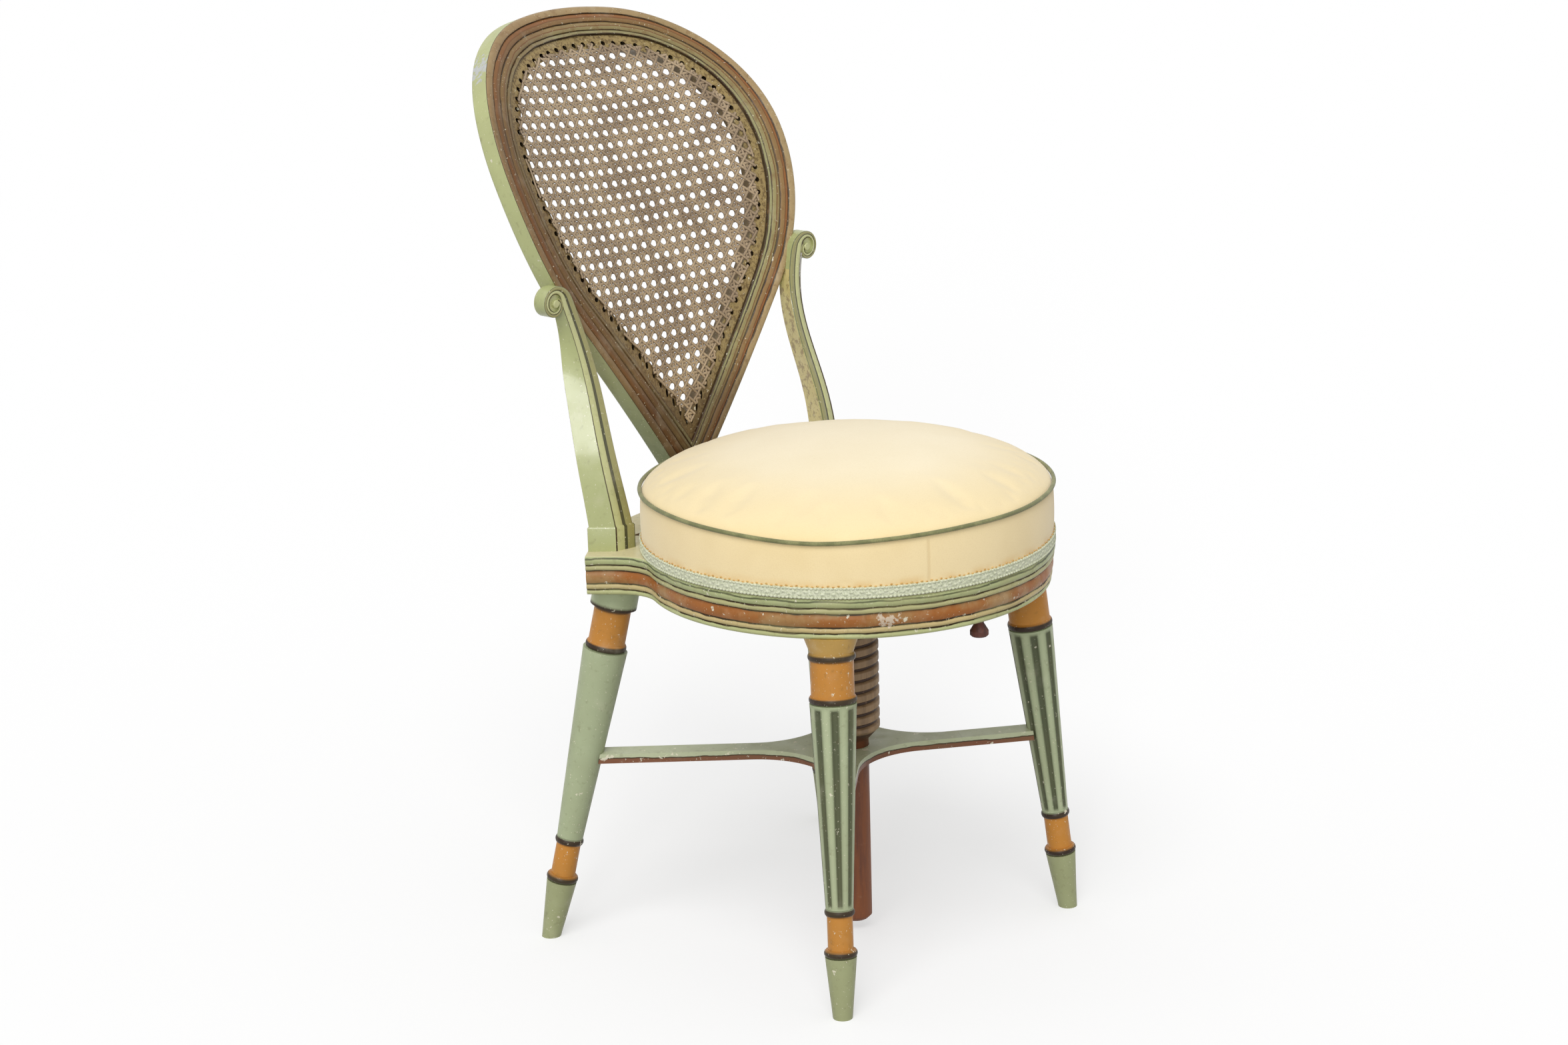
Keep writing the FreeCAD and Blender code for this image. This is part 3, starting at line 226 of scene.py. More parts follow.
class Graph(Tree):
    """A node material, built up from its principled shader."""

    def __init__(self, name, **inputs):
        self.material = bpy.data.materials.new(name)
        self.material.use_nodes = True
        super().__init__(self.material.node_tree)
        self.shader = self.tree.nodes["Principled BSDF"]
        self.position = self.node("ShaderNodeTexCoord").outputs["Object"]
        for label, value in inputs.items():
            self.put(self.shader.inputs[label.replace("_", " ")], value)

    def times(self, first, second):
        return self.math("MULTIPLY", first, second)

    def between(self, value, low, high):
        """One where a value lies between two limits."""
        return self.times(self.math("LESS_THAN", value, high), self.math("GREATER_THAN", value, low))

    def vector(self, operation, first, second=(0, 0, 0)):
        made = self.node("ShaderNodeVectorMath", first, second, operation=operation)
        return made.outputs["Value" if operation in ("DOT_PRODUCT", "LENGTH") else "Vector"]

    def mix(self, factor, first, second):
        unused = [None] * 5
        return self.node("ShaderNodeMix", factor, *unused, first, second, data_type="RGBA").outputs[2]

    def over(self, colour, *layers):
        """Lays other colours over a colour, each by its share."""
        for share, other in layers:
            colour = self.mix(share, colour, other)
        return colour

    def span(self, value, low, high, to_low=0.0, to_high=1.0):
        """Maps a stretch of a value to another, with soft ends."""
        return self.node("ShaderNodeMapRange", value, low, high, to_low, to_high,
                         interpolation_type="SMOOTHSTEP").outputs[0]

    def noise(self, scale, detail=3.0, roughness=0.55, stretch=(1, 1, 1)):
        place = self.node("ShaderNodeMapping", self.position, None, None, stretch).outputs[0]
        return self.node("ShaderNodeTexNoise", place, None, scale, detail, roughness).outputs["Fac"]

    def blotches(self, scale, detail, low, high, share, roughness=0.55):
        """A share where a noise passes from low to high."""
        return self.span(self.noise(scale, detail, roughness), low, high, 0.0, share)

    def wavered(self, value, scale, reach):
        """A value that strays a little, as a line drawn by hand does."""
        return self.math("ADD", value, self.span(self.noise(scale, 3), 0.3, 0.7, -reach, reach))

    def attribute(self, label):
        return self.node("ShaderNodeAttribute", attribute_name=label).outputs["Fac"]

    def axis(self, letter):
        """One coordinate of the row's frame, in millimetres about the screw's axis."""
        value = self.node("ShaderNodeSeparateXYZ", self.position).outputs[letter]
        if letter == "Y":
            value = self.math("SUBTRACT", value, SCREW_Y)
        return self.math("DIVIDE", value, MM)

    def faces_in(self):
        """One where a surface faces the screw's axis."""
        out = self.node("ShaderNodeCombineXYZ", self.axis("X"), self.axis("Y")).outputs[0]
        normal = self.node("ShaderNodeTexCoord").outputs["Normal"]
        return self.math("LESS_THAN", self.vector("DOT_PRODUCT", normal, out), FACING_IN)

    def from_axis(self):
        """Distance from the screw's axis, in millimetres."""
        squares = [self.math("POWER", self.axis(letter), 2.0) for letter in "XY"]
        return self.math("SQRT", self.math("ADD", *squares))

    def bands(self, value, low, high, stops, soft=0.25):
        """Colours in bands of a value; each stop is where a band starts, and its colour."""
        share = self.node("ShaderNodeMapRange", value, low, high).outputs[0]
        ramp = self.node("ShaderNodeValToRGB", share)
        elements = ramp.color_ramp.elements
        places = []
        for index, (start, colour) in enumerate(stops):
            places.append((start + soft if index else start, colour))
            if index + 1 < len(stops):
                places.append((stops[index + 1][0] - soft, colour))
        while len(elements) < len(places):
            elements.new(1.0)
        for element, (place, colour) in zip(elements, places):
            element.position = limited((place - low) / (high - low))
            element.color = colour
        return ramp.outputs[0]

    def bump(self, height, strength, distance):
        made = self.node("ShaderNodeBump", strength, distance, None, height)
        self.put(self.shader.inputs["Normal"], made.outputs[0])

    def colour(self, colour, *layers):
        self.put(self.shader.inputs["Base Color"], self.over(colour, *layers))

    def rough(self, value, low, high, least, most):
        self.put(self.shader.inputs["Roughness"], self.span(value, low, high, least, most))


def paint_finish(graph, colour, chips, tint=0.16):
    """Old hand-laid paint: cloudy colour, rubbed patches, specks and chips down to the undercoat."""
    chipped = graph.blotches(110, 7, chips, chips + CHIP_EDGE, 0.85, 0.62)
    graph.colour(
        colour,
        (graph.blotches(14, 4, 0.35, 0.7, tint), SMOKE),
        (graph.blotches(38, 5, 0.55, 0.8, 0.14), UNDERCOAT),
        (graph.blotches(160, 4, 0.56, 0.78, 0.28), GRIME),
        (chipped, UNDERCOAT),
        (graph.blotches(420, 2, 0.67, 0.73, 0.6), UNDERCOAT))
    graph.rough(graph.noise(60, 3), 0.3, 0.7, 0.34, 0.5)
    brushed = graph.noise(240, 4, 0.6, (1.0, 1.0, 0.35))
    graph.bump(graph.math("SUBTRACT", brushed, graph.times(chipped, 0.6)), 0.25, 0.0006)
    return graph.material


def wood(name, light, deep, stretch, scale=60):
    """Bare wood with its grain along the axis that the noise is stretched on."""
    graph = Graph(name)
    grain = graph.noise(scale, 6, 0.65, stretch)
    streaks = graph.noise(scale * 3, 4, 0.6, stretch)
    graph.colour(
        deep,
        (graph.span(grain, 0.3, 0.7), light),
        (graph.span(streaks, 0.5, 0.75, 0.0, 0.45), deep))
    graph.rough(streaks, 0.2, 0.8, 0.5, 0.72)
    graph.bump(streaks, 0.3, 0.0005)
    return graph.material


# Seat frame: reeded edges painted in bands by height

RAIL_TOP, RAIL_LOW = 413.0, 373.0
GROOVES = (404.0, 398.0, 384.5, 378.5)
GROOVE_HALF = 0.9
RAIL_CHIP, RAIL_CHIP_REACH = (-127.0, -157.0, 391.0), (18.0, 18.0, 11.0)
# Where a painted reflection lies on the hoop's left shoulder, and its reach.
HOOP_SHEEN, HOOP_SHEEN_REACH = (-150.0, 342.0, 874.0), (34.0, 34.0, 34.0)


def chip_and_sheen_patch(graph, place, patch_reach):
    """A pale patch at one place, ragged towards its edge: worn paint on the rail, a painted reflection on
    the hoop.
    """
    away = graph.vector("SUBTRACT", graph.position, to_row(place))
    scaled = graph.vector("DIVIDE", away, [reach * MM for reach in patch_reach])
    ragged = graph.times(graph.vector("LENGTH", scaled), 0.28)
    return graph.span(graph.math("SUBTRACT", graph.noise(150, 5, 0.7), ragged), 0.36, 0.42, 0.0, 0.9)


def rail_material():
    graph = Graph("painted_rail", Specular_IOR_Level=PAINT_SHINE)
    height = graph.wavered(graph.axis("Z"), 30, 0.8)
    stops = [(RAIL_LOW, SAGE_LIGHT)]
    for groove, colour in zip(reversed(GROOVES), (TAN, TERRACOTTA, TAN_GREEN, SAGE)):
        stops += [(groove - GROOVE_HALF, DARK), (groove + GROOVE_HALF, colour)]
    # A dark olive line just under the rail's top: painted shadow of the cushion's braid.
    stops += [(RAIL_TOP - 3.2, OLIVE), (RAIL_TOP - 1.6, SAGE)]
    in_band = graph.between(height, GROOVES[2] + GROOVE_HALF, GROOVES[1] - GROOVE_HALF)
    banded = graph.over(
        graph.bands(height, RAIL_LOW, RAIL_TOP, stops),
        (graph.times(graph.blotches(48, 4, 0.5, 0.72, 0.4), in_band), rgb(190, 140, 100)),
        (graph.blotches(24, 4, 0.44, 0.66, 0.3), TAN_GREEN),
        (graph.span(graph.axis("Z"), RAIL_TOP - 0.3, RAIL_TOP - 0.1), rgb(214, 205, 164)),
        (chip_and_sheen_patch(graph, RAIL_CHIP, RAIL_CHIP_REACH), rgb(218, 200, 178)),
        (graph.faces_in(), rgb(150, 116, 78)))
    return paint_finish(graph, banded, chips=0.64)


painted_rail = rail_material()
painted_green = paint_finish(Graph("painted_green"), SAGE, chips=0.68)
for name in ("front_rail", "rail_left", "rail_right", "back_rail"):
    nodes[name].material_slots[0].material = painted_rail

# Legs: bands along each leaned leg, and soft dark flutes between green ribs: the flutes are dark paint
# deepened by painted shade, and the ribs carry painted highlights

LEG_AXES = {
    "front": (Vector((178.1, -137.6, 0)), Vector((-0.086, 0.087, 1))),
    "rear": (Vector((214.8, 228.3, 0)), Vector((-0.162, -0.153, 1))),
}
RING_HALF = 3.0
FOOT_RING, ANKLE_RING, KNEE_RING, COLLAR_RING = 64.0, 104.0, 310.0, 351.0
FLUTES = 8
FLUTE_END, FLUTE_SOFT = 7.0, 3.0


def leg_places(graph, row):
    """Height along a leaned leg, and the turn about its axis, with both hands folded into one."""
    foot, direction = LEG_AXES[row]
    unit = direction.normalized()
    x = graph.math("SUBTRACT", graph.math("ABSOLUTE", graph.axis("X")), foot.x)
    y = graph.math("SUBTRACT", graph.axis("Y"), foot.y)
    z = graph.axis("Z")
    place = graph.node("ShaderNodeCombineXYZ", x, y, z).outputs[0]
    reach = graph.vector("DOT_PRODUCT", place, unit)
    lean_x = graph.math("SUBTRACT", x, graph.times(z, direction.x))
    lean_y = graph.math("SUBTRACT", y, graph.times(z, direction.y))
    return graph.times(reach, unit.z), graph.math("ARCTAN2", lean_y, lean_x)


def leg_material(row):
    graph = Graph("painted_leg_" + row, Specular_IOR_Level=PAINT_SHINE)
    along, turn = leg_places(graph, row)
    stops = [(0.0, SAGE_FOOT_SHADED)]
    upper = rgb(200, 160, 88) if row == "front" else SAGE_GREY
    rings = ((FOOT_RING, ORANGE), (ANKLE_RING, SAGE_GREY), (KNEE_RING, ORANGE), (COLLAR_RING, upper))
    for ring, colour in rings:
        stops += [(ring - RING_HALF, RING_DARK), (ring + RING_HALF, colour)]
    colour = graph.bands(along, 0.0, RAIL_LOW, stops, soft=0.4)
    if row == "front":
        stripe = graph.math("COSINE", graph.times(turn, FLUTES))
        low, high = ANKLE_RING + FLUTE_END, KNEE_RING - FLUTE_END
        fluted = graph.times(graph.span(along, low - FLUTE_SOFT, low + FLUTE_SOFT),
                             graph.span(along, high + FLUTE_SOFT, high - FLUTE_SOFT))
        # Painted shade in the flutes over their dark paint, and painted highlights on the ribs between
        # them.
        flute_paint_and_shade = graph.times(graph.span(stripe, -0.55, 0.65, 0.0, 0.92), fluted)
        rib_highlights = graph.times(graph.span(stripe, -0.6, -1.0, 0.0, 0.35), fluted)
        colour = graph.over(colour, (flute_paint_and_shade, rgb(66, 72, 48)), (rib_highlights, rgb(194, 202, 164)))
    return paint_finish(graph, colour, chips=0.65)


for row in LEG_AXES:
    painted_leg = leg_material(row)
    for hand in ("left", "right"):
        nodes["leg_{}_{}".format(row, hand)].material_slots[0].material = painted_leg

# Stretcher: green above a brown lower edge

STRETCHER_LOW, STRETCHER_TOP = 188.0, 198.0
STRETCHER_LINE, STRETCHER_GREEN = STRETCHER_LOW + 4.4, STRETCHER_LOW + 5.6


def stretcher_material():
    graph = Graph("painted_stretcher", Specular_IOR_Level=PAINT_SHINE)
    height = graph.wavered(graph.axis("Z"), 40, 0.6)
    green = rgb(188, 194, 160)
    stops = [(STRETCHER_LOW, rgb(126, 82, 58)), (STRETCHER_LINE, DARK), (STRETCHER_GREEN, green)]
    banded = graph.bands(height, STRETCHER_LOW - 1, STRETCHER_TOP + 1, stops)
    return paint_finish(graph, banded, chips=0.62)


painted_stretcher = stretcher_material()
for name in nodes:
    if name.startswith("stretcher"):
        nodes[name].material_slots[0].material = painted_stretcher

# Bare wood, steel and dowels

bare_wood = wood("bare_wood", rgb(168, 128, 84), rgb(110, 74, 44), (1.0, 0.12, 1.0))
nut_wood = wood("nut_wood", rgb(128, 92, 66), rgb(78, 52, 36), (1.0, 1.0, 0.15))
knob_wood = wood("knob_wood", rgb(98, 48, 32), rgb(52, 26, 20), (1.0, 1.0, 0.2), 120)
dowel_wood = wood("dowel_wood", rgb(196, 164, 112), rgb(150, 114, 70), (1.0, 1.0, 0.2), 120)


def steel_material():
    graph = Graph("screw_steel", Metallic=0.9)
    spots = graph.noise(260, 5)
    rust = graph.span(spots, 0.5, 0.72)
    graph.colour(rgb(138, 134, 128), (rust, rgb(94, 62, 42)))
    graph.rough(spots, 0.5, 0.72, 0.35, 0.7)
    graph.bump(rust, 0.2, 0.0003)
    return graph.material


steel = steel_material()
MATERIAL_OF = {
    "cross_bar": bare_wood, "seat_board": bare_wood, "screw_nut": nut_wood, "seat_flange": bare_wood,
    "underside_knob": knob_wood, "lift_washer": steel, "bar_screws": steel, "nut_screws": steel,
    "flange_screws": steel, "rail_dowels": dowel_wood, "hoop_dowels": dowel_wood, "arm_dowels": dowel_wood,
}
for name, material in MATERIAL_OF.items():
    nodes[name].material_slots[0].material = material

# Caned back, in its own frame: x across, y up the rake, depth behind the dished and bowed front

BACK_TOE_Y = 211.0
RAKE = math.radians(17.0)
BACK_THICKNESS = 25.6
DISH_RADIUS, BOW_RADIUS, BOW_MIDDLE = 684.0, 690.0, 250.0
BACK_HEIGHT = 532.0
CREST_RADIUS, CREST_HALF = 333.0, math.radians(10.8)
SHOULDER_RADIUS, SIDE_RADIUS = 167.0, 262.0
TOE_ANGLE = math.radians(37.3)
TOE_HEIGHT = 45.0
SHOULDER_X = (CREST_RADIUS - SHOULDER_RADIUS) * math.sin(CREST_HALF)
SHOULDER_Y = BACK_HEIGHT - CREST_RADIUS + (CREST_RADIUS - SHOULDER_RADIUS) * math.cos(CREST_HALF)
SIDE_X = SHOULDER_X + SHOULDER_RADIUS - SIDE_RADIUS
SLANT = math.pi / 2 + TOE_ANGLE
BOW_AXIS = math.sqrt(BOW_RADIUS ** 2 - BOW_MIDDLE ** 2)
# Crest, shoulder and side of the teardrop's right half: centre, radius, first and last angle
ARCS = ((0.0, BACK_HEIGHT - CREST_RADIUS, CREST_RADIUS, 0.0, CREST_HALF),
        (SHOULDER_X, SHOULDER_Y, SHOULDER_RADIUS, CREST_HALF, math.pi / 2),
        (SIDE_X, SHOULDER_Y, SIDE_RADIUS, math.pi / 2, SLANT))


def on_back(places):
    """Points about the screw's axis from places of the back: across, up, depth and what follows."""
    x, y, depth = np.moveaxis(places[..., :3], -1, 0)
    dish = DISH_RADIUS - np.sqrt(DISH_RADIUS ** 2 - x ** 2)
    z = np.sqrt((BOW_RADIUS + dish - depth) ** 2 - (y - BOW_MIDDLE) ** 2) - BOW_AXIS
    rear = math.sin(RAKE) * y - math.cos(RAKE) * z + BACK_TOE_Y
    height = math.cos(RAKE) * y + math.sin(RAKE) * z + RAIL_TOP
    return np.stack([x, rear, height], axis=-1)


def outline(step, inset):
    """A point of the right half of the teardrop: crest, shoulder, side and straight run, a unit each."""
    index = min(max(math.ceil(step) - 1, 0), 2)
    middle_x, middle_y, radius, first, last = ARCS[index]
    angle = first + min(step - index, 1) * (last - first)
    x, y = middle_x + (radius - inset) * math.sin(angle), middle_y + (radius - inset) * math.cos(angle)
    if step <= 3:
        return x, y
    apex = y - x / math.tan(TOE_ANGLE)
    end_y = max(apex, TOE_HEIGHT)
    end_x = (end_y - apex) * math.tan(TOE_ANGLE)
    return x + (end_x - x) * (step - 3), y + (end_y - y) * (step - 3)


def hoop_point(step, inset):
    """The same, with the left half at negative steps."""
    x, y = outline(abs(step), inset)
    return (x if step >= 0 else -x), y


def inset_of(x, y):
    """How far a point of the back lies inside the teardrop."""
    for middle_x, middle_y, radius, first, last in ARCS:
        across, up = abs(x) - middle_x, y - middle_y
        if first <= math.atan2(across, up) <= last:
            return radius - math.hypot(across, up)
    return SIDE_RADIUS - (across * math.sin(SLANT) + up * math.cos(SLANT))


# Hoop: a section of rounded reeds swept round the teardrop, with a drilled border for the cane

REED_EDGES = (0.0, 8.7, 18.2, 27.7)
FILLET_EDGE = 32.0
BORDER_EDGE = 48.0
BORDER_FRONT, BORDER_REAR = 3.4, 18.0
REED_RELIEF = 2.0
REED_STEPS = 8
HOLE_INSET, HOLE_RADIUS, HOLE_DEPTH = 42.5, 2.8, 7.0
HOLE_PITCH, HOLE_RIM = 13.5, 0.3
HOLE_SIDES = 8
HOOP_CORNER, CORNER_STEPS = 4.0, 6
LIP_IN, LIP_SUNK, LIP_CHAMFER = 0.8, 0.6, 0.5
STATION_PITCH, FINE_STEPS = 4.5, 400


def hoop_section():
    """The section from the inner edge of the border round the rear to the front step."""
    section = [(BORDER_EDGE, BORDER_FRONT), (BORDER_EDGE, BORDER_REAR), (FILLET_EDGE, BORDER_REAR)]
    section += [(FILLET_EDGE, BACK_THICKNESS - 1.0), (FILLET_EDGE - 1.0, BACK_THICKNESS)]
    flat = FILLET_EDGE - HOOP_CORNER
    section += [(HOOP_CORNER + flat * (1 - share / 4), BACK_THICKNESS) for share in range(1, 4)]
    for step in range(CORNER_STEPS + 1):
        angle = math.pi / 2 * step / CORNER_STEPS
        inset = HOOP_CORNER * (1 - math.sin(angle))
        section.append((inset, BACK_THICKNESS - HOOP_CORNER * (1 - math.cos(angle))))
    section += [(0.0, depth) for depth in (16.0, 10.0, 6.0, 4.0)]
    for start, stop in zip(REED_EDGES, REED_EDGES[1:]):
        for step in range(REED_STEPS + 1):
            swing = 2 * step / REED_STEPS - 1
            sunk = REED_RELIEF * (1 - math.sqrt(max(0.0, 1 - swing * swing)))
            section.append((start + (stop - start) * step / REED_STEPS, sunk))
    section += [(REED_EDGES[-1] + LIP_IN, LIP_SUNK), (FILLET_EDGE - LIP_CHAMFER, LIP_SUNK)]
    section += [(FILLET_EDGE, depth) for depth in (LIP_SUNK + LIP_CHAMFER, 2.2, BORDER_FRONT)]
    return section


def steps_by_length(start, stop, spacing):
    """Steps from start to stop that lie evenly along the line of holes."""
    fine = np.linspace(start, stop, FINE_STEPS)
    line = np.array([hoop_point(step, HOLE_INSET) for step in fine])
    runs = np.concatenate([[0], np.cumsum(np.linalg.norm(np.diff(line, axis=0), axis=1))])
    count = max(1, round(runs[-1] / spacing))
    return np.interp(np.linspace(0, runs[-1], count + 1), runs, fine)


def add_to_hoop(piece, places, faces):
    """Adds places of the back: across, up, depth, inset and whether in a hole."""
    piece.add(on_back(places), faces, inset=places[..., 3], depth=places[..., 2], up=places[..., 1],
              hole=places[..., 4])


def hoop_piece(name, start, stop, node, material):
    piece = Parts()
    section = hoop_section()
    stations = steps_by_length(start, stop, STATION_PITCH)
    rows = [[(*hoop_point(step, inset), depth, inset, 0.0) for inset, depth in section]
            for step in stations]
    count = len(section)
    last = (len(stations) - 1) * count
    ends = [tuple(range(count)), tuple(reversed(range(last, last + count)))]
    add_to_hoop(piece, np.array(rows), grid_faces(len(stations), count) + ends)
    holes = steps_by_length(start, stop, HOLE_PITCH)
    for first, second in zip(holes, holes[1:]):
        add_hole_cell(piece, first, second)
    obj = piece.build(name, material, sharp=40)
    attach(obj, "frame")
    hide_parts(node)


def add_hole_cell(piece, first, second):
    """One stretch of the border with a drilled hole in its middle."""
    middle = (first + second) / 2
    x0, y0 = hoop_point(first, HOLE_INSET)
    x1, y1 = hoop_point(second, HOLE_INSET)
    half_turn = (second - first) / math.hypot(x1 - x0, y1 - y0) * HOLE_RADIUS
    rim = [(first, FILLET_EDGE), (middle, FILLET_EDGE), (second, FILLET_EDGE), (second, HOLE_INSET),
           (second, BORDER_EDGE), (middle, BORDER_EDGE), (first, BORDER_EDGE), (first, HOLE_INSET)]
    hole = []
    for angle in full_turn(HOLE_SIDES) - 3 * math.pi / 4:
        hole.append((middle + half_turn * math.cos(angle), HOLE_INSET + HOLE_RADIUS * math.sin(angle)))
    rings = [(rim, BORDER_FRONT, 0.0), (hole, BORDER_FRONT, 0.0), (hole, BORDER_FRONT + HOLE_RIM, 1.0),
             (hole, BORDER_FRONT + HOLE_DEPTH, 1.0)]
    places = [(*hoop_point(step, inset), depth, inset, dark)
              for ring, depth, dark in rings for step, inset in ring]
    faces = grid_faces(len(rings), HOLE_SIDES, wrap_columns=True)
    floor = tuple(range(3 * HOLE_SIDES, 4 * HOLE_SIDES))
    add_to_hoop(piece, np.array(places), faces + [floor])


def hoop_material():
    graph = Graph("painted_hoop", Specular_IOR_Level=PAINT_SHINE)
    inset, depth, up = (graph.attribute(label) for label in ("inset", "depth", "up"))
    line = graph.wavered(inset, 36, 0.5)
    rust, umber = rgb(112, 66, 36), rgb(112, 76, 42)
    stops = [(-2.0, rgb(184, 164, 122)), (7.6, DARK), (9.0, rgb(172, 108, 56)), (12.2, rust),
             (13.2, rgb(164, 134, 88)), (17.3, DARK), (18.7, rgb(176, 160, 108)), (22.2, rust),
             (23.2, rgb(178, 176, 124)), (26.9, DARK), (28.1, rgb(186, 194, 144)), (31.0, DARK),
             (33.0, rgb(158, 136, 88))]
    browned = [(start, colour if colour == DARK else umber) for start, colour in stops]
    browned[0] = (stops[0][0], rgb(150, 120, 82))
    reeded = graph.math("LESS_THAN", line, FILLET_EDGE)
    on_border = graph.math("GREATER_THAN", line, FILLET_EDGE + 1.0)
    # Browner reeds: the crest's own browner paint, and painted shade down the left side, whose dished face
    # turns away from the light.
    left_side_shade = graph.span(graph.axis("X"), 30.0, -60.0)
    brown = graph.math("MAXIMUM", graph.span(up, 300.0, 480.0, 0.44, 0.6), graph.times(left_side_shade, 0.78))
    front = graph.over(
        graph.bands(line, -2.0, BORDER_EDGE, stops),
        (graph.times(brown, reeded), graph.bands(line, -2.0, BORDER_EDGE, browned)),
        (graph.times(graph.blotches(90, 5, 0.5, 0.68, 0.5, 0.65), reeded), rgb(122, 88, 52)),
        (graph.times(graph.blotches(300, 4, 0.46, 0.6, 0.75, 0.7), on_border), rgb(88, 66, 36)),
        # More painted shade on the left side below the crest.
        (graph.times(left_side_shade, graph.span(up, 480.0, 400.0, 0.0, 0.45)), rgb(86, 56, 30)),
        # The front darkens towards the toe.
        (graph.span(up, 150.0, 95.0, 0.0, 0.6), rgb(62, 42, 26)))
    # The side is painted darker towards the toe, as painted shade.
    side = graph.over(
        rgb(122, 132, 96),
        (graph.span(up, 40.0, 250.0), SAGE_LIGHT),
        # A painted reflection: a pale bluish-grey patch on the left shoulder's side.
        (chip_and_sheen_patch(graph, HOOP_SHEEN, HOOP_SHEEN_REACH), rgb(198, 201, 205)))
    outside = graph.times(graph.span(depth, 1.8, 2.2), graph.math("LESS_THAN", inset, 2.6))
    rear = graph.span(depth, BORDER_FRONT + 2.0, BORDER_FRONT + 3.0)
    inner = graph.times(rear, graph.span(inset, BORDER_EDGE - 1.0, BORDER_EDGE - 0.4))
    colour = graph.over(
        front,
        (outside, graph.mix(graph.span(depth, 2.4, 3.2), DARK, side)),
        (rear, side),
        (inner, rgb(120, 98, 62)),
        # Painted shade: the drilled holes are dark inside.
        (graph.attribute("hole"), rgb(40, 28, 18)))
    return paint_finish(graph, colour, chips=0.67)


painted_hoop = hoop_material()
hoop_piece("hoop_crest", -2.0, 2.0, "back_crest", painted_hoop)
hoop_piece("hoop_stile_right", 2.0, 4.0, "back_stile_right", painted_hoop)
hoop_piece("hoop_stile_left", -4.0, -2.0, "back_stile_left", painted_hoop)
nodes["back_toe"].material_slots[0].material = painted_green

# Cane: paired strands across and up, and one strand on each diagonal, woven over and under

PITCH_ACROSS, PITCH_UP = 14.2, 13.3
PAIR_HALF = 0.135
STRAND_WIDTH, STRAND_THICK = 3.15, 0.6
# A split cane, rounded on its face and flat behind: shares of its width and thickness
STRAND_SECTION = ((-0.5, 0.0), (-0.25, 0.75), (0.0, 1.0), (0.25, 0.75), (0.5, 0.0))
CANE_DEPTH = 3.1
WEAVE_LIFT = 0.35
ROW_BEND, BEND_START, BEND_END = 11.0, 40.0, -150.0
CROSS_STEPS, DIAGONAL_LIFT = 4, 0.7
LOOP_STEPS, LOOP_RISE, LOOP_OUT = 7, 0.9, 0.5


def on_weave(column, row):
    """A place on the back from its column and row; the rows bend up a little to one side."""
    x, y = column * PITCH_ACROSS, row * PITCH_UP
    bend = limited((BEND_START - x) / (BEND_START - BEND_END))
    return x, y + ROW_BEND * bend * bend * y / BACK_HEIGHT


def add_strand(cane, centre, lifts):
    """A ribbon along points of the back, raised by a lift at each point."""
    centre = np.asarray(centre, float)
    along = np.gradient(centre, axis=0)
    along /= np.linalg.norm(along, axis=1)[:, None]
    beside = np.stack([-along[:, 1], along[:, 0]], axis=1)
    section = [(share * STRAND_WIDTH, rise * STRAND_THICK) for share, rise in STRAND_SECTION]
    rows = np.array([[(*(point + normal * offset), CANE_DEPTH - lift - thick) for offset, thick in section]
                     for point, normal, lift in zip(centre, beside, lifts)])
    edge = np.broadcast_to([2 * abs(share) for share, _ in STRAND_SECTION], rows.shape[:2])
    cane.add(on_back(rows), grid_faces(len(rows), len(section), wrap_columns=True), edge=edge)


def clipped(start, direction, length):
    """The stretches of a straight line of the weave that lie inside the row of holes."""
    runs, run = [], []
    for index in range(CROSS_STEPS * length + 1):
        column, row = (begin + way * index / CROSS_STEPS for begin, way in zip(start, direction))
        point = on_weave(column, row)
        if inset_of(*point) > HOLE_INSET:
            run.append((*point, column, row))
        elif run:
            runs.append(run)
            run = []
    if run:
        runs.append(run)
    return [np.array(run) for run in runs if len(run) > 2]


def weave(place, phase):
    """Lift of a strand that goes over one crossing and under the next."""
    return WEAVE_LIFT * (1 + np.cos(math.pi * (place + phase)))


def cane_panel(material):
    cane = Parts()
    columns = int((SHOULDER_X + SHOULDER_RADIUS) / PITCH_ACROSS) + 1
    rows = int(BACK_HEIGHT / PITCH_UP) + 1
    for row in range(rows):
        for twin in (-1, 1):
            for run in clipped((-columns, row + twin * PAIR_HALF), (1, 0), 2 * columns):
                add_strand(cane, run[:, :2], weave(run[:, 2], row + (twin > 0)))
    for column in range(-columns, columns + 1):
        for twin in (-1, 1):
            for run in clipped((column + twin * PAIR_HALF, 0), (0, 1), rows):
                add_strand(cane, run[:, :2], weave(run[:, 3], column + (twin > 0) + 1))
    for hand in (-1, 1):
        for index in range(-2 * columns, rows):
            for run in clipped((-hand * columns, index + 0.5), (hand, 1), 2 * columns):
                lifts = DIAGONAL_LIFT + WEAVE_LIFT * (1 + hand * np.cos(2 * math.pi * run[:, 2]))
                add_strand(cane, run[:, :2], lifts)
    add_loops(cane)
    obj = cane.build("cane_weave", material, sharp=50)
    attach(obj, "frame")
    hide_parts("cane_panel")


def add_loops(cane):
    """Short runs of cane from hole to hole behind the border."""
    for start, stop in ((-4.0, -2.0), (-2.0, 2.0), (2.0, 4.0)):
        edges = steps_by_length(start, stop, HOLE_PITCH)
        holes = (edges[1:] + edges[:-1]) / 2
        for first, second in zip(holes[:-1:2], holes[1::2]):
            steps = np.linspace(first, second, LOOP_STEPS)
            line = np.array([hoop_point(step, HOLE_INSET) for step in steps])
            rise = LOOP_RISE * np.sin(np.pi * np.linspace(0, 1, LOOP_STEPS))
            add_strand(cane, line, CANE_DEPTH - BORDER_REAR - STRAND_THICK - rise + LOOP_OUT)


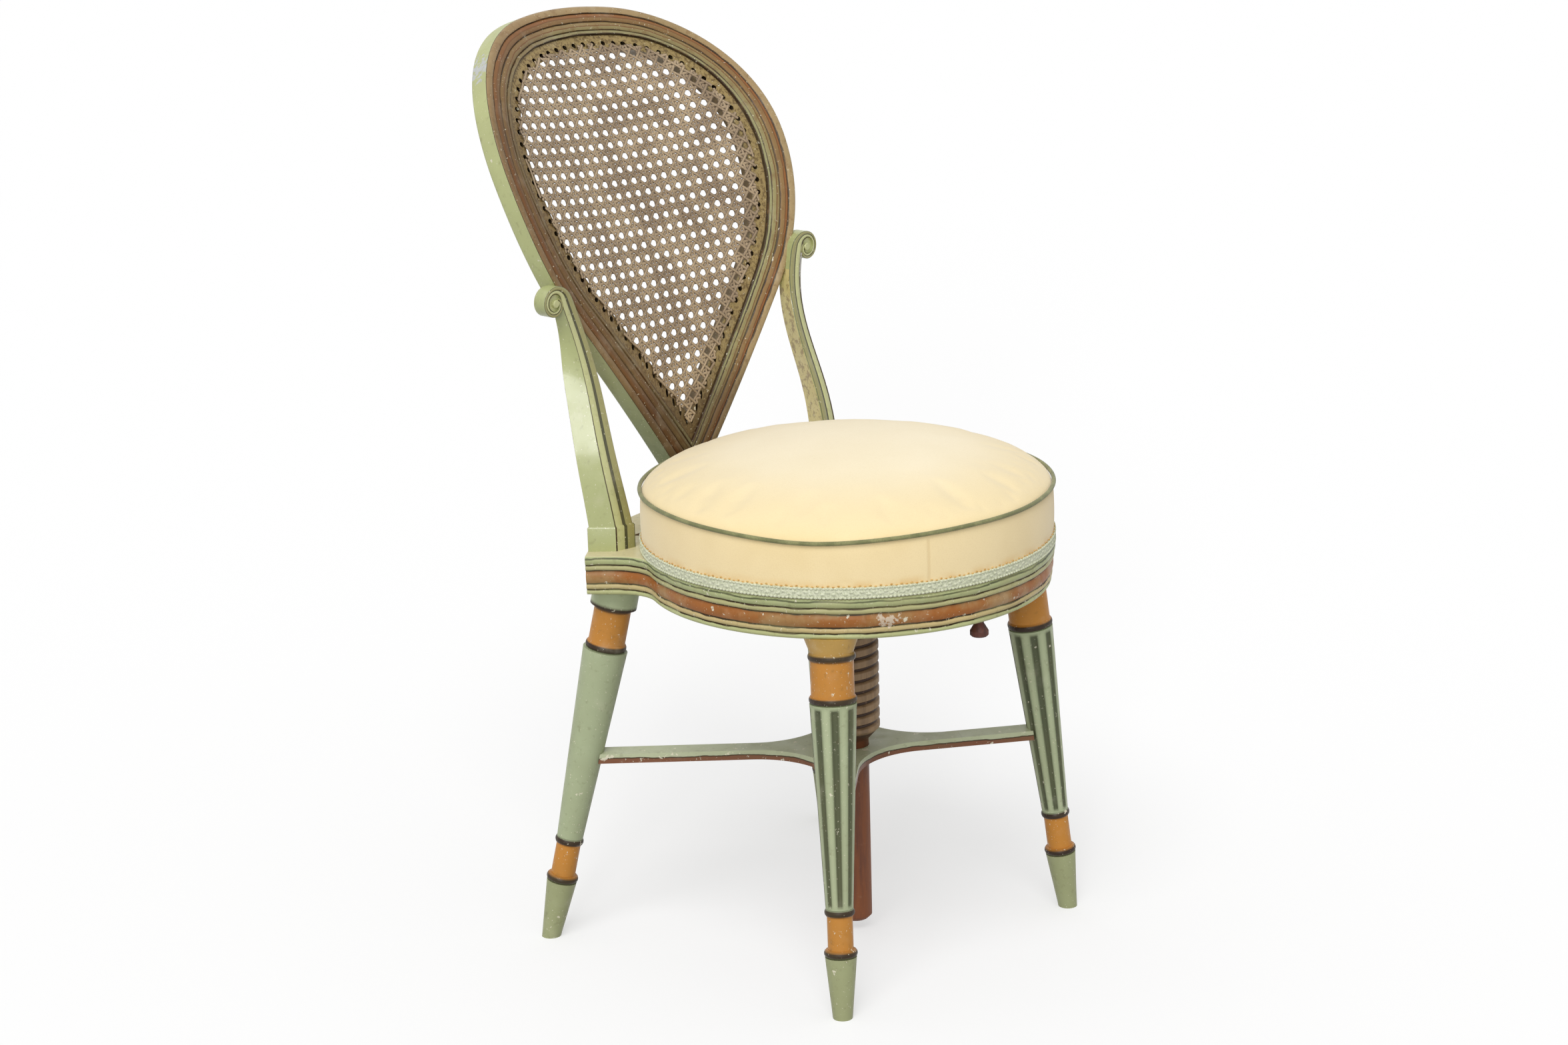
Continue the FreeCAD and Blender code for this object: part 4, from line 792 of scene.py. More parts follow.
def cane_material():
    graph = Graph("split_cane")
    tone = graph.noise(26, 4)
    fibre = graph.noise(500, 3, 0.6)
    graph.colour(
        rgb(148, 127, 100),
        (graph.span(tone, 0.35, 0.65), rgb(184, 162, 130)),
        (graph.span(fibre, 0.45, 0.7, 0.0, 0.45), rgb(104, 82, 58)),
        # Painted shade: each strand darkens towards its sides, where the weave shades it.
        (graph.span(graph.attribute("edge"), 0.45, 1.0, 0.0, 0.85), rgb(66, 48, 34)))
    graph.rough(tone, 0.3, 0.7, 0.4, 0.55)
    graph.bump(fibre, 0.25, 0.0003)
    return graph.material


cane_panel(cane_material())

# Arms: a stem in a slow S on a plinth, which curls over outwards in a volute

ARM_EDGE = np.array([
    (438, 169.0, 156.0), (470, 170.3, 162.5), (500, 170.5, 170.0), (530, 168.7, 179.0), (560, 165.2, 188.7),
    (590, 163.8, 198.0), (620, 166.6, 205.0), (650, 174.5, 209.0), (665, 180.0, 210.0)])
ARM_MIDDLE, ARM_DEGREE = 550, 5
STEM_STEPS, SMOOTH_PASSES = 40, 6
ARM_SIDE = np.array([17.5, 21.0])
ARM_FACE = np.array([-22.5, -3.5])
ARM_REAR = np.array([-13.5, 29.0])
ARM_TAPER = 0.3
PLINTH_TOP, SCROLL_HEIGHT = 438.0, 658.0
PLINTH_MARGIN, PLINTH_CHAMFER = 0.07, 1.6
SCROLL_DEPTH, SCROLL_BAND = 16.0, 17.6
BLEND_START = 575.0
CURL_TURNS = (0, 45, 90, 135, 180, 225, 270, 315, 360, 405)
CURL_OUTSIDE = (24.0, 19.2, 16.8, 16.0, 15.4, 14.6, 13.3, 11.4, 9.2, 7.0)
CURL_INSIDE = (6.4, 8.3, 9.9, 10.1, 9.6, 8.6, 7.3, 5.6, 3.6, 1.6)
CURL_STEPS = 72
LOW_RELIEF = 0.5
WEB_RADIUS, WEB_SINK = 10.8, 2.4
EYE_RADIUS, EYE_OUT = 4.0, 0.8
DRUM_SIDES, DRUM_EDGE = 28, 0.8
OUTER_FACE, INNER_FACE, REAR_FACE, DRUM_FACE = 0.0, -0.5, -1.0, 0.3
INNER_FACE_TOP = 632.0


def eased(share):
    """A share from nought to one with a soft start and end."""
    share = np.clip(share, 0.0, 1.0)
    return share * share * (3 - 2 * share)


def arm_section():
    """The section's ring: shares from the outer to the inner side and to the rear, sink, and face."""
    ring = [(0.0, share, 0.0, OUTER_FACE) for share in (0.95, 0.75, 0.5, 0.25, 0.06, 0.005)]
    reeds = ((0.0, 0.5), (0.05, 1.5), (0.1, 0.9), (0.18, 0.2), (0.27, 0.0), (0.36, 0.2), (0.44, 0.9),
             (0.5, 1.7), (0.56, 0.9), (0.66, 0.2), (0.76, 0.0), (0.86, 0.2), (0.94, 0.7), (1.0, 1.6))
    ring += [(share, 0.0, sunk, max(share, 0.01)) for share, sunk in reeds]
    ring += [(1.0, share, 0.0, INNER_FACE) for share in (0.085, 0.1, 0.3, 0.5, 0.75, 0.94)]
    ring += [(share, 1.0, 0.0, REAR_FACE) for share in (0.94, 0.67, 0.33, 0.06)]
    return ring


def arm_edge(height):
    """The arm's front outer edge at a height, in plan."""
    heights = ARM_EDGE[:, 0] - ARM_MIDDLE
    curves = [np.polyfit(heights, ARM_EDGE[:, column], ARM_DEGREE) for column in (1, 2)]
    return np.array([np.polyval(curve, height - ARM_MIDDLE) for curve in curves])


def stem_corners(height):
    """Outer front, outer rear, inner front and inner rear corners of the stem."""
    scale = 1 - ARM_TAPER * (height - PLINTH_TOP) / (SCROLL_HEIGHT - PLINTH_TOP)
    blend = eased((height - BLEND_START) / (SCROLL_HEIGHT - BLEND_START))
    squared = np.array([(0, SCROLL_DEPTH), (-SCROLL_BAND, 0), (-SCROLL_BAND, SCROLL_DEPTH)])
    offsets = np.array([ARM_SIDE, ARM_FACE, ARM_REAR]) * scale * (1 - blend) + squared * blend
    edge = arm_edge(height)
    return [np.array([*(edge + offset), height]) for offset in [np.zeros(2), *offsets]]


def curl_corners(turn, centre):
    """The same corners where the stem has curled over by an angle."""
    angle = math.radians(180 - turn)
    way = np.array([math.cos(angle), 0.0, math.sin(angle)])
    rear = np.array([0.0, SCROLL_DEPTH, 0.0])
    inside, outside = (np.interp(turn, CURL_TURNS, radii) for radii in (CURL_INSIDE, CURL_OUTSIDE))
    return [centre + way * inside, centre + way * inside + rear,
            centre + way * outside, centre + way * outside + rear]


def arm_ring(corners, relief):
    """The section's ring laid over four corners."""
    front, rear, inner, inner_rear = corners
    back = (rear - front) / np.linalg.norm(rear - front)
    points = []
    for across, deep, sunk, _ in arm_section():
        near = front + (inner - front) * across
        far = rear + (inner_rear - rear) * across
        points.append(near + (far - near) * deep + back * (sunk * relief))
    return points


def smoothed(rings):
    """Evens out the corners of the curl's controls, from one ring to the next."""
    kept = rings.copy()
    for _ in range(SMOOTH_PASSES):
        kept[1:-1] = (kept[:-2] + 2 * kept[1:-1] + kept[2:]) / 4
    return kept


def arm_rings():
    """Rings up the stem and round the volute, and the volute's middle."""
    heights = np.linspace(PLINTH_TOP, SCROLL_HEIGHT, STEM_STEPS)
    stem = [arm_ring(stem_corners(height), 1.0) for height in heights]
    edge = arm_edge(SCROLL_HEIGHT)
    centre = np.array([edge[0] + CURL_INSIDE[0], edge[1], SCROLL_HEIGHT])
    turns = np.linspace(0, CURL_TURNS[-1], CURL_STEPS)[1:]
    reliefs = 1 - (1 - LOW_RELIEF) * eased(turns / 90)
    curl = [arm_ring(curl_corners(turn, centre), relief) for turn, relief in zip(turns, reliefs)]
    return smoothed(np.array(stem + curl)), centre


def plinth_rings():
    corners = stem_corners(PLINTH_TOP)
    middle = sum(corners) / 4
    grown = [middle + (corner - middle) * (1 + PLINTH_MARGIN) for corner in corners]
    levels = ((grown, RAIL_TOP - PLINTH_TOP), (grown, -PLINTH_CHAMFER), (corners, 0.0))
    raised = [[corner + UP * level for corner in ring] for ring, level in levels]
    return np.array([arm_ring(ring, LOW_RELIEF) for ring in raised])


def handed(faces, side):
    """Faces that still look outwards on the left, where the points are mirrored."""
    return faces if side > 0 else [tuple(reversed(face)) for face in faces]


def add_drum(piece, centre, radius, near, far, side):
    """A short drum with softened edges about an axis that runs from front to rear."""
    flat = radius - DRUM_EDGE
    profile = ((near, 0.0), (near, flat), (near + DRUM_EDGE, radius),
               (far - DRUM_EDGE, radius), (far, flat), (far, 0.0))
    rows = [[(side * (centre[0] + reach * math.cos(turn)), y, centre[2] + reach * math.sin(turn))
             for turn in full_turn(DRUM_SIDES)] for y, reach in profile]
    faces = grid_faces(len(rows), DRUM_SIDES, wrap_columns=True)
    piece.add(np.array(rows), handed(faces, side), face=DRUM_FACE)


def build_arm(name, side, node, material):
    piece = Parts()
    faces_of = np.array([face for _, _, _, face in arm_section()])
    count = len(faces_of)
    stem, centre = arm_rings()
    for rings in (plinth_rings(), stem):
        shape = rings.copy()
        shape[..., 0] *= side
        curled = np.arange(len(rings)) > np.argmax(rings[:, 0, 2] > INNER_FACE_TOP)
        plain = np.where(curled[:, None] & (faces_of == INNER_FACE), OUTER_FACE, faces_of)
        piece.add(shape, handed(tube_faces(len(rings), count), side), face=plain)
    near, far = centre[1], centre[1] + SCROLL_DEPTH
    add_drum(piece, centre, WEB_RADIUS, near + WEB_SINK, far - WEB_SINK, side)
    add_drum(piece, centre, EYE_RADIUS, near - EYE_OUT, far + EYE_OUT, side)
    obj = piece.build(name, material, sharp=38)
    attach(obj, "frame")
    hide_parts(node)


def arm_material():
    graph = Graph("painted_arm", Coat_Weight=0.3, Coat_Roughness=0.12)
    face = graph.attribute("face")
    stops = [(-1.2, SAGE), (-0.75, rgb(208, 194, 132)), (-0.25, rgb(172, 178, 122)), (0.005, DARK),
             (0.09, rgb(190, 192, 138)), (0.47, rgb(66, 66, 40)), (0.6, rgb(150, 146, 94)), (0.95, OLIVE)]
    mottled = graph.times(graph.blotches(130, 5, 0.48, 0.6, 0.7, 0.7), graph.between(face, -0.75, -0.25))
    colour = graph.mix(mottled, graph.bands(face, -1.2, 1.0, stops, soft=0.002), rgb(128, 100, 58))
    return paint_finish(graph, colour, chips=0.69, tint=0.1)


painted_arm = arm_material()
build_arm("arm_scroll_right", 1, "arm_right", painted_arm)
build_arm("arm_scroll_left", -1, "arm_left", painted_arm)

# Screw: a right-hand thread cut on a tapered-in cylinder over a plain shank

THREAD_RADIUS, THREAD_ROOT, THREAD_PITCH = 28.8, 24.8, 12.0
THREAD_LOW, THREAD_TAPER, THREAD_TOP = 218.0, 13.0, 405.3
SHANK_RADIUS, SHANK_LOW, SHANK_CHAMFER = 17.0, 10.0, 4.0
SHANK_PLAIN, SHANK_ROWS = 30.0, 14
TENON_RADIUS, TENON_TOP = 20.0, 413.3
CREST_WIDTH, CREST_SLOPE = 2.3, 5.2
SCREW_SIDES, THREAD_STEP = 72, 0.8


def thread_radius(height, turn):
    """Radius of the screw at a height and a share of a turn."""
    phase = (height / THREAD_PITCH - turn) % 1.0
    crest = eased(CREST_WIDTH - CREST_SLOPE * np.abs(phase - 0.5))
    return THREAD_ROOT + (THREAD_RADIUS - THREAD_ROOT) * crest


def build_screw(material):
    columns = SCREW_SIDES
    turns = np.arange(columns) / columns
    shank = [SHANK_LOW, SHANK_LOW + 1.0, SHANK_LOW + SHANK_CHAMFER, SHANK_LOW + SHANK_CHAMFER + 1.0]
    shank += list(np.linspace(SHANK_PLAIN, THREAD_LOW - THREAD_TAPER, SHANK_ROWS))
    thread = list(np.arange(THREAD_LOW - THREAD_TAPER + THREAD_STEP, THREAD_TOP, THREAD_STEP))
    rings = []
    for height in shank:
        inset = max(0.0, SHANK_CHAMFER - (height - SHANK_LOW))
        rings.append(np.full(columns, SHANK_RADIUS - inset))
    for height in thread:
        share = (height - THREAD_LOW + THREAD_TAPER) / THREAD_TAPER
        cone = SHANK_RADIUS + share * (THREAD_RADIUS - SHANK_RADIUS)
        rings.append(np.minimum(thread_radius(height, turns), cone))
    rings = np.array(rings + [np.full(columns, TENON_RADIUS)] * 2)
    heights = np.array(shank + thread + [THREAD_TOP, TENON_TOP])
    crest = np.clip((rings - THREAD_ROOT) / (THREAD_RADIUS - THREAD_ROOT), 0, 1)
    angles = full_turn(columns)
    levels = np.broadcast_to(heights[:, None], rings.shape)
    points = np.stack([rings * np.cos(angles), rings * np.sin(angles), levels], axis=-1)
    screw = Parts()
    screw.add(points, tube_faces(len(rings), columns), crest=crest)
    obj = screw.build("wooden_screw", material, sharp=55)
    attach(obj, "seat")
    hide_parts("seat_screw")


def screw_material():
    graph = Graph("screw_wood")
    grain = graph.noise(90, 6, 0.65, (1.0, 1.0, 0.1))
    streaks = graph.span(grain, 0.35, 0.65)
    shank = graph.mix(streaks, rgb(100, 52, 26), rgb(136, 78, 42))
    crests = graph.mix(streaks, rgb(130, 104, 76), rgb(170, 140, 106))
    # Painted shade: the thread is dark in its roots and lighter on its crests.
    thread = graph.mix(graph.span(graph.attribute("crest"), 0.05, 0.6), rgb(66, 46, 34), crests)
    graph.colour(
        shank,
        (graph.span(graph.axis("Z"), THREAD_LOW - THREAD_TAPER - 3, THREAD_LOW - 3), thread),
        (graph.blotches(150, 5, 0.6, 0.75, 0.3), rgb(168, 136, 108)))
    graph.rough(grain, 0.3, 0.7, 0.42, 0.62)
    graph.bump(grain, 0.3, 0.0006)
    return graph.material


build_screw(screw_material())

# Cushion: a crowned top on a boxing, pressed outwards by its stuffing

SEAT_RADIUS = 205.0
BOARD_LOW, BOXING_TOP = 413.5, 471.1
GIMP_LOW, GIMP_HEIGHT, GIMP_RADIUS = 413.5, 11.5, 205.3
WELT_RING, WELT_HEIGHT, WELT_RADIUS = 204.6, 473.2, 2.1
CROWN, SHOULDER_RING, SHOULDER_RISE = 38.0, 172.0, 21.0
COVER_RADIUS = 202.4
UNDER_ROWS, BOXING_ROWS, RIM_ROWS, DOME_ROWS = 24, 11, 14, 26
UNDER_INSET, SEAM_INSET, SEAM_GAP, BOXING_BULGE = 4.0, 2.2, 0.6, 1.2
VOXEL = 0.0052
SWELL_CAP = 0.0035
SAG, SAG_TURN, SAG_SPREAD = 6.2, math.radians(-146), 0.45
SAG_RING, SAG_SIDE = 120.0, 8.0
CUSHION_SIDES = 180
HELD_SEAM, HELD_SIDE, HELD_FOOT = 3.5, 6.0, 12.0
CLOTH = {
    "quality": 5, "mass": 0.3, "vertex_group_mass": "held",
    "use_pressure": True, "uniform_pressure_force": 4.0,
    "tension_stiffness": 40, "compression_stiffness": 40, "bending_stiffness": 6,
}
CLOTH_FRAMES = 20
FOLD_TURN, FOLD_TOP, FOLD_SOFT = math.radians(-117), 468.0, 4.0


def seam_sag(turn):
    """How far the hand-sewn upper seam hangs below its level at a turn about the axis."""
    away = (turn - SAG_TURN + math.pi) % (2 * math.pi) - math.pi
    return SAG * math.exp(-(away / SAG_SPREAD) ** 2)


def sag_share(radius, height):
    """The part of the seam's sag that a point of the cushion follows."""
    if height > WELT_HEIGHT:
        return limited((radius - SAG_RING) / (COVER_RADIUS - SAG_RING)) ** 2
    return limited((height - BOARD_LOW) / (WELT_HEIGHT - BOARD_LOW)) * (radius > SEAT_RADIUS - SAG_SIDE)


def crown_rise(radius):
    """Rise of the cushion's top: a dome, and a tighter arc from it down to the seam."""
    dome_rise = CROWN - SHOULDER_RISE
    dome_curve = (SHOULDER_RING ** 2 + dome_rise ** 2) / (2 * dome_rise)
    if radius <= SHOULDER_RING:
        return CROWN - dome_curve + math.sqrt(dome_curve ** 2 - radius ** 2)
    sine, cosine = SHOULDER_RING / dome_curve, 1 - dome_rise / dome_curve
    step_in = COVER_RADIUS - SHOULDER_RING
    chord_square = step_in ** 2 + SHOULDER_RISE ** 2
    arc = chord_square / (2 * (SHOULDER_RISE * cosine - step_in * sine))
    across = radius - SHOULDER_RING + arc * sine
    return SHOULDER_RISE - arc * cosine + math.sqrt(max(0.0, arc ** 2 - across ** 2))


def cushion_profile():
    """Half of the cushion's section, from the middle of its underside to the middle of its top."""
    side = SEAT_RADIUS - BOXING_BULGE
    profile = [(radius, BOARD_LOW) for radius in np.linspace(0, SEAT_RADIUS - UNDER_INSET, UNDER_ROWS)]
    profile += [(SEAT_RADIUS - SEAM_INSET, BOARD_LOW + SEAM_GAP), (side, BOARD_LOW + 2.5)]
    for share in np.linspace(0.08, 0.94, BOXING_ROWS):
        bulge = BOXING_BULGE * math.sin(math.pi * share)
        profile.append((side + bulge, BOARD_LOW + (BOXING_TOP - BOARD_LOW) * share))
    profile += [(SEAT_RADIUS - 1.8, BOXING_TOP + 0.8), (SEAT_RADIUS - SEAM_INSET, WELT_HEIGHT - SEAM_GAP)]
    rim = COVER_RADIUS - SHOULDER_RING
    radii = [SHOULDER_RING + rim * math.cos(angle) for angle in np.linspace(0.08, math.pi / 2, RIM_ROWS)]
    radii += list(np.linspace(SHOULDER_RING, 0.0, DOME_ROWS))[1:]
    profile += [(radius, WELT_HEIGHT - SEAM_GAP + crown_rise(radius)) for radius in radii]
    return profile


def cushion_blank():
    profile = cushion_profile()
    columns = CUSHION_SIDES
    points = [(0.0, 0.0, profile[0][1])]
    rings = profile[1:-1]
    for radius, height in rings:
        share = sag_share(radius, height)
        points += [around(radius, turn, height - share * seam_sag(turn)) for turn in full_turn(columns)]
    points.append((0.0, 0.0, profile[-1][1]))
    faces = grid_faces(len(rings), columns, start=1, wrap_columns=True)
    top = len(points) - 1
    last = 1 + (len(rings) - 1) * columns
    for column in range(columns):
        after = (column + 1) % columns
        faces.append((0, 1 + after, 1 + column))
        faces.append((top, last + column, last + after))
    return points, faces


def swell(obj):
    """Blows the cushion up a little with cloth held at its seam and underside, and caps the move."""
    remesh = obj.modifiers.new("even", "REMESH")
    remesh.mode = "VOXEL"
    remesh.voxel_size = VOXEL
    settle(obj)
    held = obj.vertex_groups.new(name="held")
    for vertex in obj.data.vertices:
        height = vertex.co.z / MM
        radius = math.hypot(vertex.co.x, vertex.co.y - SCREW_Y) / MM
        seam = WELT_HEIGHT - seam_sag(math.atan2(vertex.co.y - SCREW_Y, vertex.co.x))
        at_seam = abs(height - seam) < HELD_SEAM and radius > SEAT_RADIUS - HELD_SIDE
        if height < BOARD_LOW + HELD_FOOT or at_seam:
            held.add([vertex.index], 1.0, "REPLACE")
    before = np.array([vertex.co[:] for vertex in obj.data.vertices])
    cloth = obj.modifiers.new("cloth", "CLOTH")
    for label, value in CLOTH.items():
        setattr(cloth.settings, label, value)
    cloth.settings.effector_weights.gravity = 0.0
    scene = bpy.context.scene
    for step in range(1, CLOTH_FRAMES + 1):
        scene.frame_set(step)
    settle(obj)
    scene.frame_set(1)
    after = np.array([vertex.co[:] for vertex in obj.data.vertices])
    move = after - before
    length = np.linalg.norm(move, axis=1)
    scale = np.minimum(1.0, SWELL_CAP / np.maximum(length, 1e-9))
    obj.data.vertices.foreach_set("co", (before + move * scale[:, None]).ravel())
    obj.data.update()


def settle(obj):
    """Applies an object's modifiers to its mesh."""
    shaped = obj.evaluated_get(bpy.context.evaluated_depsgraph_get())
    mesh = bpy.data.meshes.new_from_object(shaped)
    old = obj.data
    obj.modifiers.clear()
    obj.data = mesh
    bpy.data.meshes.remove(old)


def cloth_material():
    graph = Graph("cream_cloth", Sheen_Weight=0.35, Sheen_Roughness=0.5)
    tone = graph.noise(9, 3)
    cloudy = graph.span(tone, 0.3, 0.7)
    height = graph.axis("Z")
    # Painted light and shade on one cloth: the boxing is painted darker than the top, and the top darker
    # and yellower towards its rim.
    boxing = graph.mix(cloudy, rgb(240, 216, 162), rgb(248, 226, 176))
    top = graph.over(
        rgb(248, 233, 196),
        (cloudy, rgb(252, 238, 204)),
        (graph.span(graph.from_axis(), 90.0, 190.0, 0.0, 0.9), rgb(240, 220, 172)))
    foot = GIMP_LOW + GIMP_HEIGHT
    stain = graph.times(graph.blotches(40, 4, 0.35, 0.7, 1.0),
                        graph.span(height, foot + 10, foot, 0.0, 0.5))
    # A fold down the boxing: a crease in the bump, with painted shade along it.
    turn = graph.math("ARCTAN2", graph.axis("Y"), graph.axis("X"))
    away = graph.math("ABSOLUTE", graph.math("SUBTRACT", turn, FOLD_TURN))
    fold = graph.times(graph.span(away, 0.012, 0.003), graph.span(height, FOLD_TOP, FOLD_TOP - FOLD_SOFT))
    graph.colour(
        boxing,
        (graph.span(height, WELT_HEIGHT - SAG, WELT_HEIGHT + 12), top),
        (stain, rgb(222, 176, 96)),
        (graph.blotches(900, 3, 0.45, 0.75, 0.2, 0.6), rgb(220, 190, 134)),
        (graph.times(fold, 0.22), rgb(196, 160, 98)))
    graph.rough(tone, 0.2, 0.8, 0.78, 0.9)
    graph.bump(graph.math("SUBTRACT", graph.noise(700, 4, 0.65), fold), 0.3, 0.0006)
    return graph.material


cream_cloth = cloth_material()
cushion = add_mesh("seat_cushion", *cushion_blank(), cream_cloth)
swell(cushion)
cushion.data.polygons.foreach_set("use_smooth", [True] * len(cushion.data.polygons))
subdivide = cushion.modifiers.new("smooth", "SUBSURF")
subdivide.levels = subdivide.render_levels = 1
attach(cushion, "seat")
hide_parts("seat_cover", "seat_boxing", "seat_padding")

# Piping in the upper seam, and the beaded braid with its stitches round the foot

WELT_COLUMNS, WELT_SIDES, WELT_WAVE = 360, 12, 0.25
GIMP_COLUMNS, GIMP_ROWS, GIMP_END = 240, 7, 0.3
GIMP_BULGE, GIMP_THICK = 0.55, 0.9
EDGE_BEADS, EDGE_BEAD, EDGE_IN = 330, (1.75, 0.95, 1.2), 1.3
MIDDLE_BEADS, MIDDLE_BEAD = 240, (2.4, 0.8, 1.5)
STITCHES, STITCH = 260, (1.3, 0.5, 0.8)


def piping_rings():
    """Rings of the piping, which waves a little and follows the seam's sag."""
    rows = []
    for turn in full_turn(WELT_COLUMNS):
        lift = WELT_WAVE * (math.sin(5 * turn + 0.7) + 0.6 * math.sin(11 * turn + 2.1)) - seam_sag(turn)
        rows.append([around(WELT_RING + WELT_RADIUS * math.cos(angle), turn,
                            WELT_HEIGHT + lift + WELT_RADIUS * math.sin(angle))
                     for angle in full_turn(WELT_SIDES)])
    return np.array(rows)


def piping_material():
    graph = Graph("piping_cloth", Sheen_Weight=0.2)
    twill = graph.noise(800, 3)
    graph.colour(
        rgb(116, 118, 76),
        (graph.blotches(60, 3, 0.35, 0.65, 1.0), rgb(142, 142, 96)),
        (graph.span(twill, 0.45, 0.7, 0.0, 0.4), rgb(88, 88, 54)))
    graph.rough(twill, 0.2, 0.8, 0.7, 0.9)
    graph.bump(twill, 0.4, 0.0005)
    return graph.material


def yarn_material(name, noise, colours, roughness, relief, **inputs):
    graph = Graph(name, **inputs)
    yarn = graph.noise(*noise)
    graph.colour(graph.mix(graph.span(yarn, 0.35, 0.65), *colours))
    graph.rough(yarn, 0.2, 0.8, *roughness)
    graph.bump(yarn, *relief)
    return graph.material


def add_bead(piece, centre, out, sizes, rings=6, sides=8):
    """A small rounded lump with its long axis along the ring."""
    along = np.cross(UP, out)
    points = []
    for ring in range(1, rings):
        polar = math.pi * ring / rings
        for angle in full_turn(sides):
            points.append(centre + along * (sizes[0] * math.cos(polar))
                          + out * (sizes[1] * math.sin(polar) * math.cos(angle))
                          + UP * (sizes[2] * math.sin(polar) * math.sin(angle)))
    points += [centre + along * sizes[0], centre - along * sizes[0]]
    faces = grid_faces(rings - 1, sides, wrap_columns=True)
    first, start = (rings - 1) * sides, (rings - 2) * sides
    for side in range(sides):
        after = (side + 1) % sides
        faces += [(first, after, side), (first + 1, start + side, start + after)]
    piece.add(points, faces)


def beads_round(piece, radius, height, count, sizes, lift=0.0):
    """A ring of beads that stand by turns above and below a height."""
    for index, turn in enumerate(full_turn(count)):
        out = np.array(around(1.0, turn, 0.0))
        add_bead(piece, out * radius + UP * (height + lift * (-1) ** index), out, sizes)


def build_gimp(material):
    piece = Parts()
    heights = np.linspace(GIMP_LOW + GIMP_END, GIMP_LOW + GIMP_HEIGHT - GIMP_END, GIMP_ROWS)
    section = [(GIMP_RADIUS + GIMP_BULGE * math.sin(math.pi * index / (GIMP_ROWS - 1)), height)
               for index, height in enumerate(heights)]
    section += [(GIMP_RADIUS - GIMP_THICK, heights[-1]), (GIMP_RADIUS - GIMP_THICK, heights[0])]
    rows = [[around(reach, turn, height) for reach, height in section] for turn in full_turn(GIMP_COLUMNS)]
    piece.add(np.array(rows), grid_faces(GIMP_COLUMNS, len(section), wrap_rows=True, wrap_columns=True))
    for height in (GIMP_LOW + EDGE_IN, GIMP_LOW + GIMP_HEIGHT - EDGE_IN):
        beads_round(piece, GIMP_RADIUS + 0.5, height, EDGE_BEADS, EDGE_BEAD)
    beads_round(piece, GIMP_RADIUS + 0.45, GIMP_LOW + GIMP_HEIGHT / 2, MIDDLE_BEADS, MIDDLE_BEAD, lift=1.0)
    obj = piece.build("braid_gimp", material)
    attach(obj, "seat")
    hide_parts("seat_gimp")


def build_stitches(material):
    piece = Parts()
    beads_round(piece, SEAT_RADIUS + 0.1, GIMP_LOW + GIMP_HEIGHT + 0.6, STITCHES, STITCH, lift=0.5)
    obj = piece.build("braid_stitches", material)
    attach(obj, "seat")


piping_faces = grid_faces(WELT_COLUMNS, WELT_SIDES, wrap_rows=True, wrap_columns=True)
piping = add_mesh("seam_piping", piping_rings().reshape(-1, 3), piping_faces, piping_material())
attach(piping, "seat")
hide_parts("seat_piping")
build_gimp(yarn_material("braid", (600, 3), (rgb(190, 194, 164), rgb(222, 224, 198)), (0.65, 0.85),
                         (0.4, 0.0005), Sheen_Weight=0.2))
build_stitches(yarn_material("stitch_thread", (500, 2), (rgb(190, 142, 66), rgb(222, 186, 116)), (0.6, 0.8),
                             (0.3, 0.0003)))

# Camera at the photograph's viewpoint

AZIMUTH, ELEVATION, ROLL = (math.radians(angle) for angle in (-47.42, 15.54, -1.58))
CAMERA_PLACE = (-2231.0, -1965.0, 1259.0)
CAMERA_LENS, SENSOR = 71.36, 36.0


def add_camera():
    back = Vector((math.sin(AZIMUTH) * math.cos(ELEVATION), -math.cos(AZIMUTH) * math.cos(ELEVATION),
                   math.sin(ELEVATION)))
    level = Vector((math.cos(AZIMUTH), math.sin(AZIMUTH), 0))
    above = back.cross(level)
    right = level * math.cos(ROLL) + above * math.sin(ROLL)
    up = above * math.cos(ROLL) - level * math.sin(ROLL)
    data = bpy.data.cameras.new("camera")
    data.lens = CAMERA_LENS
    data.sensor_width = SENSOR
    camera = add_object("camera", data)
    turn = Matrix((right, up, back)).transposed().to_4x4()
    camera.matrix_world = Matrix.Translation(Vector(to_row(CAMERA_PLACE))) @ turn
    bpy.context.scene.camera = camera


add_camera()

# White studio: an even sky, a soft key light from the upper left, a low fill and a white floor

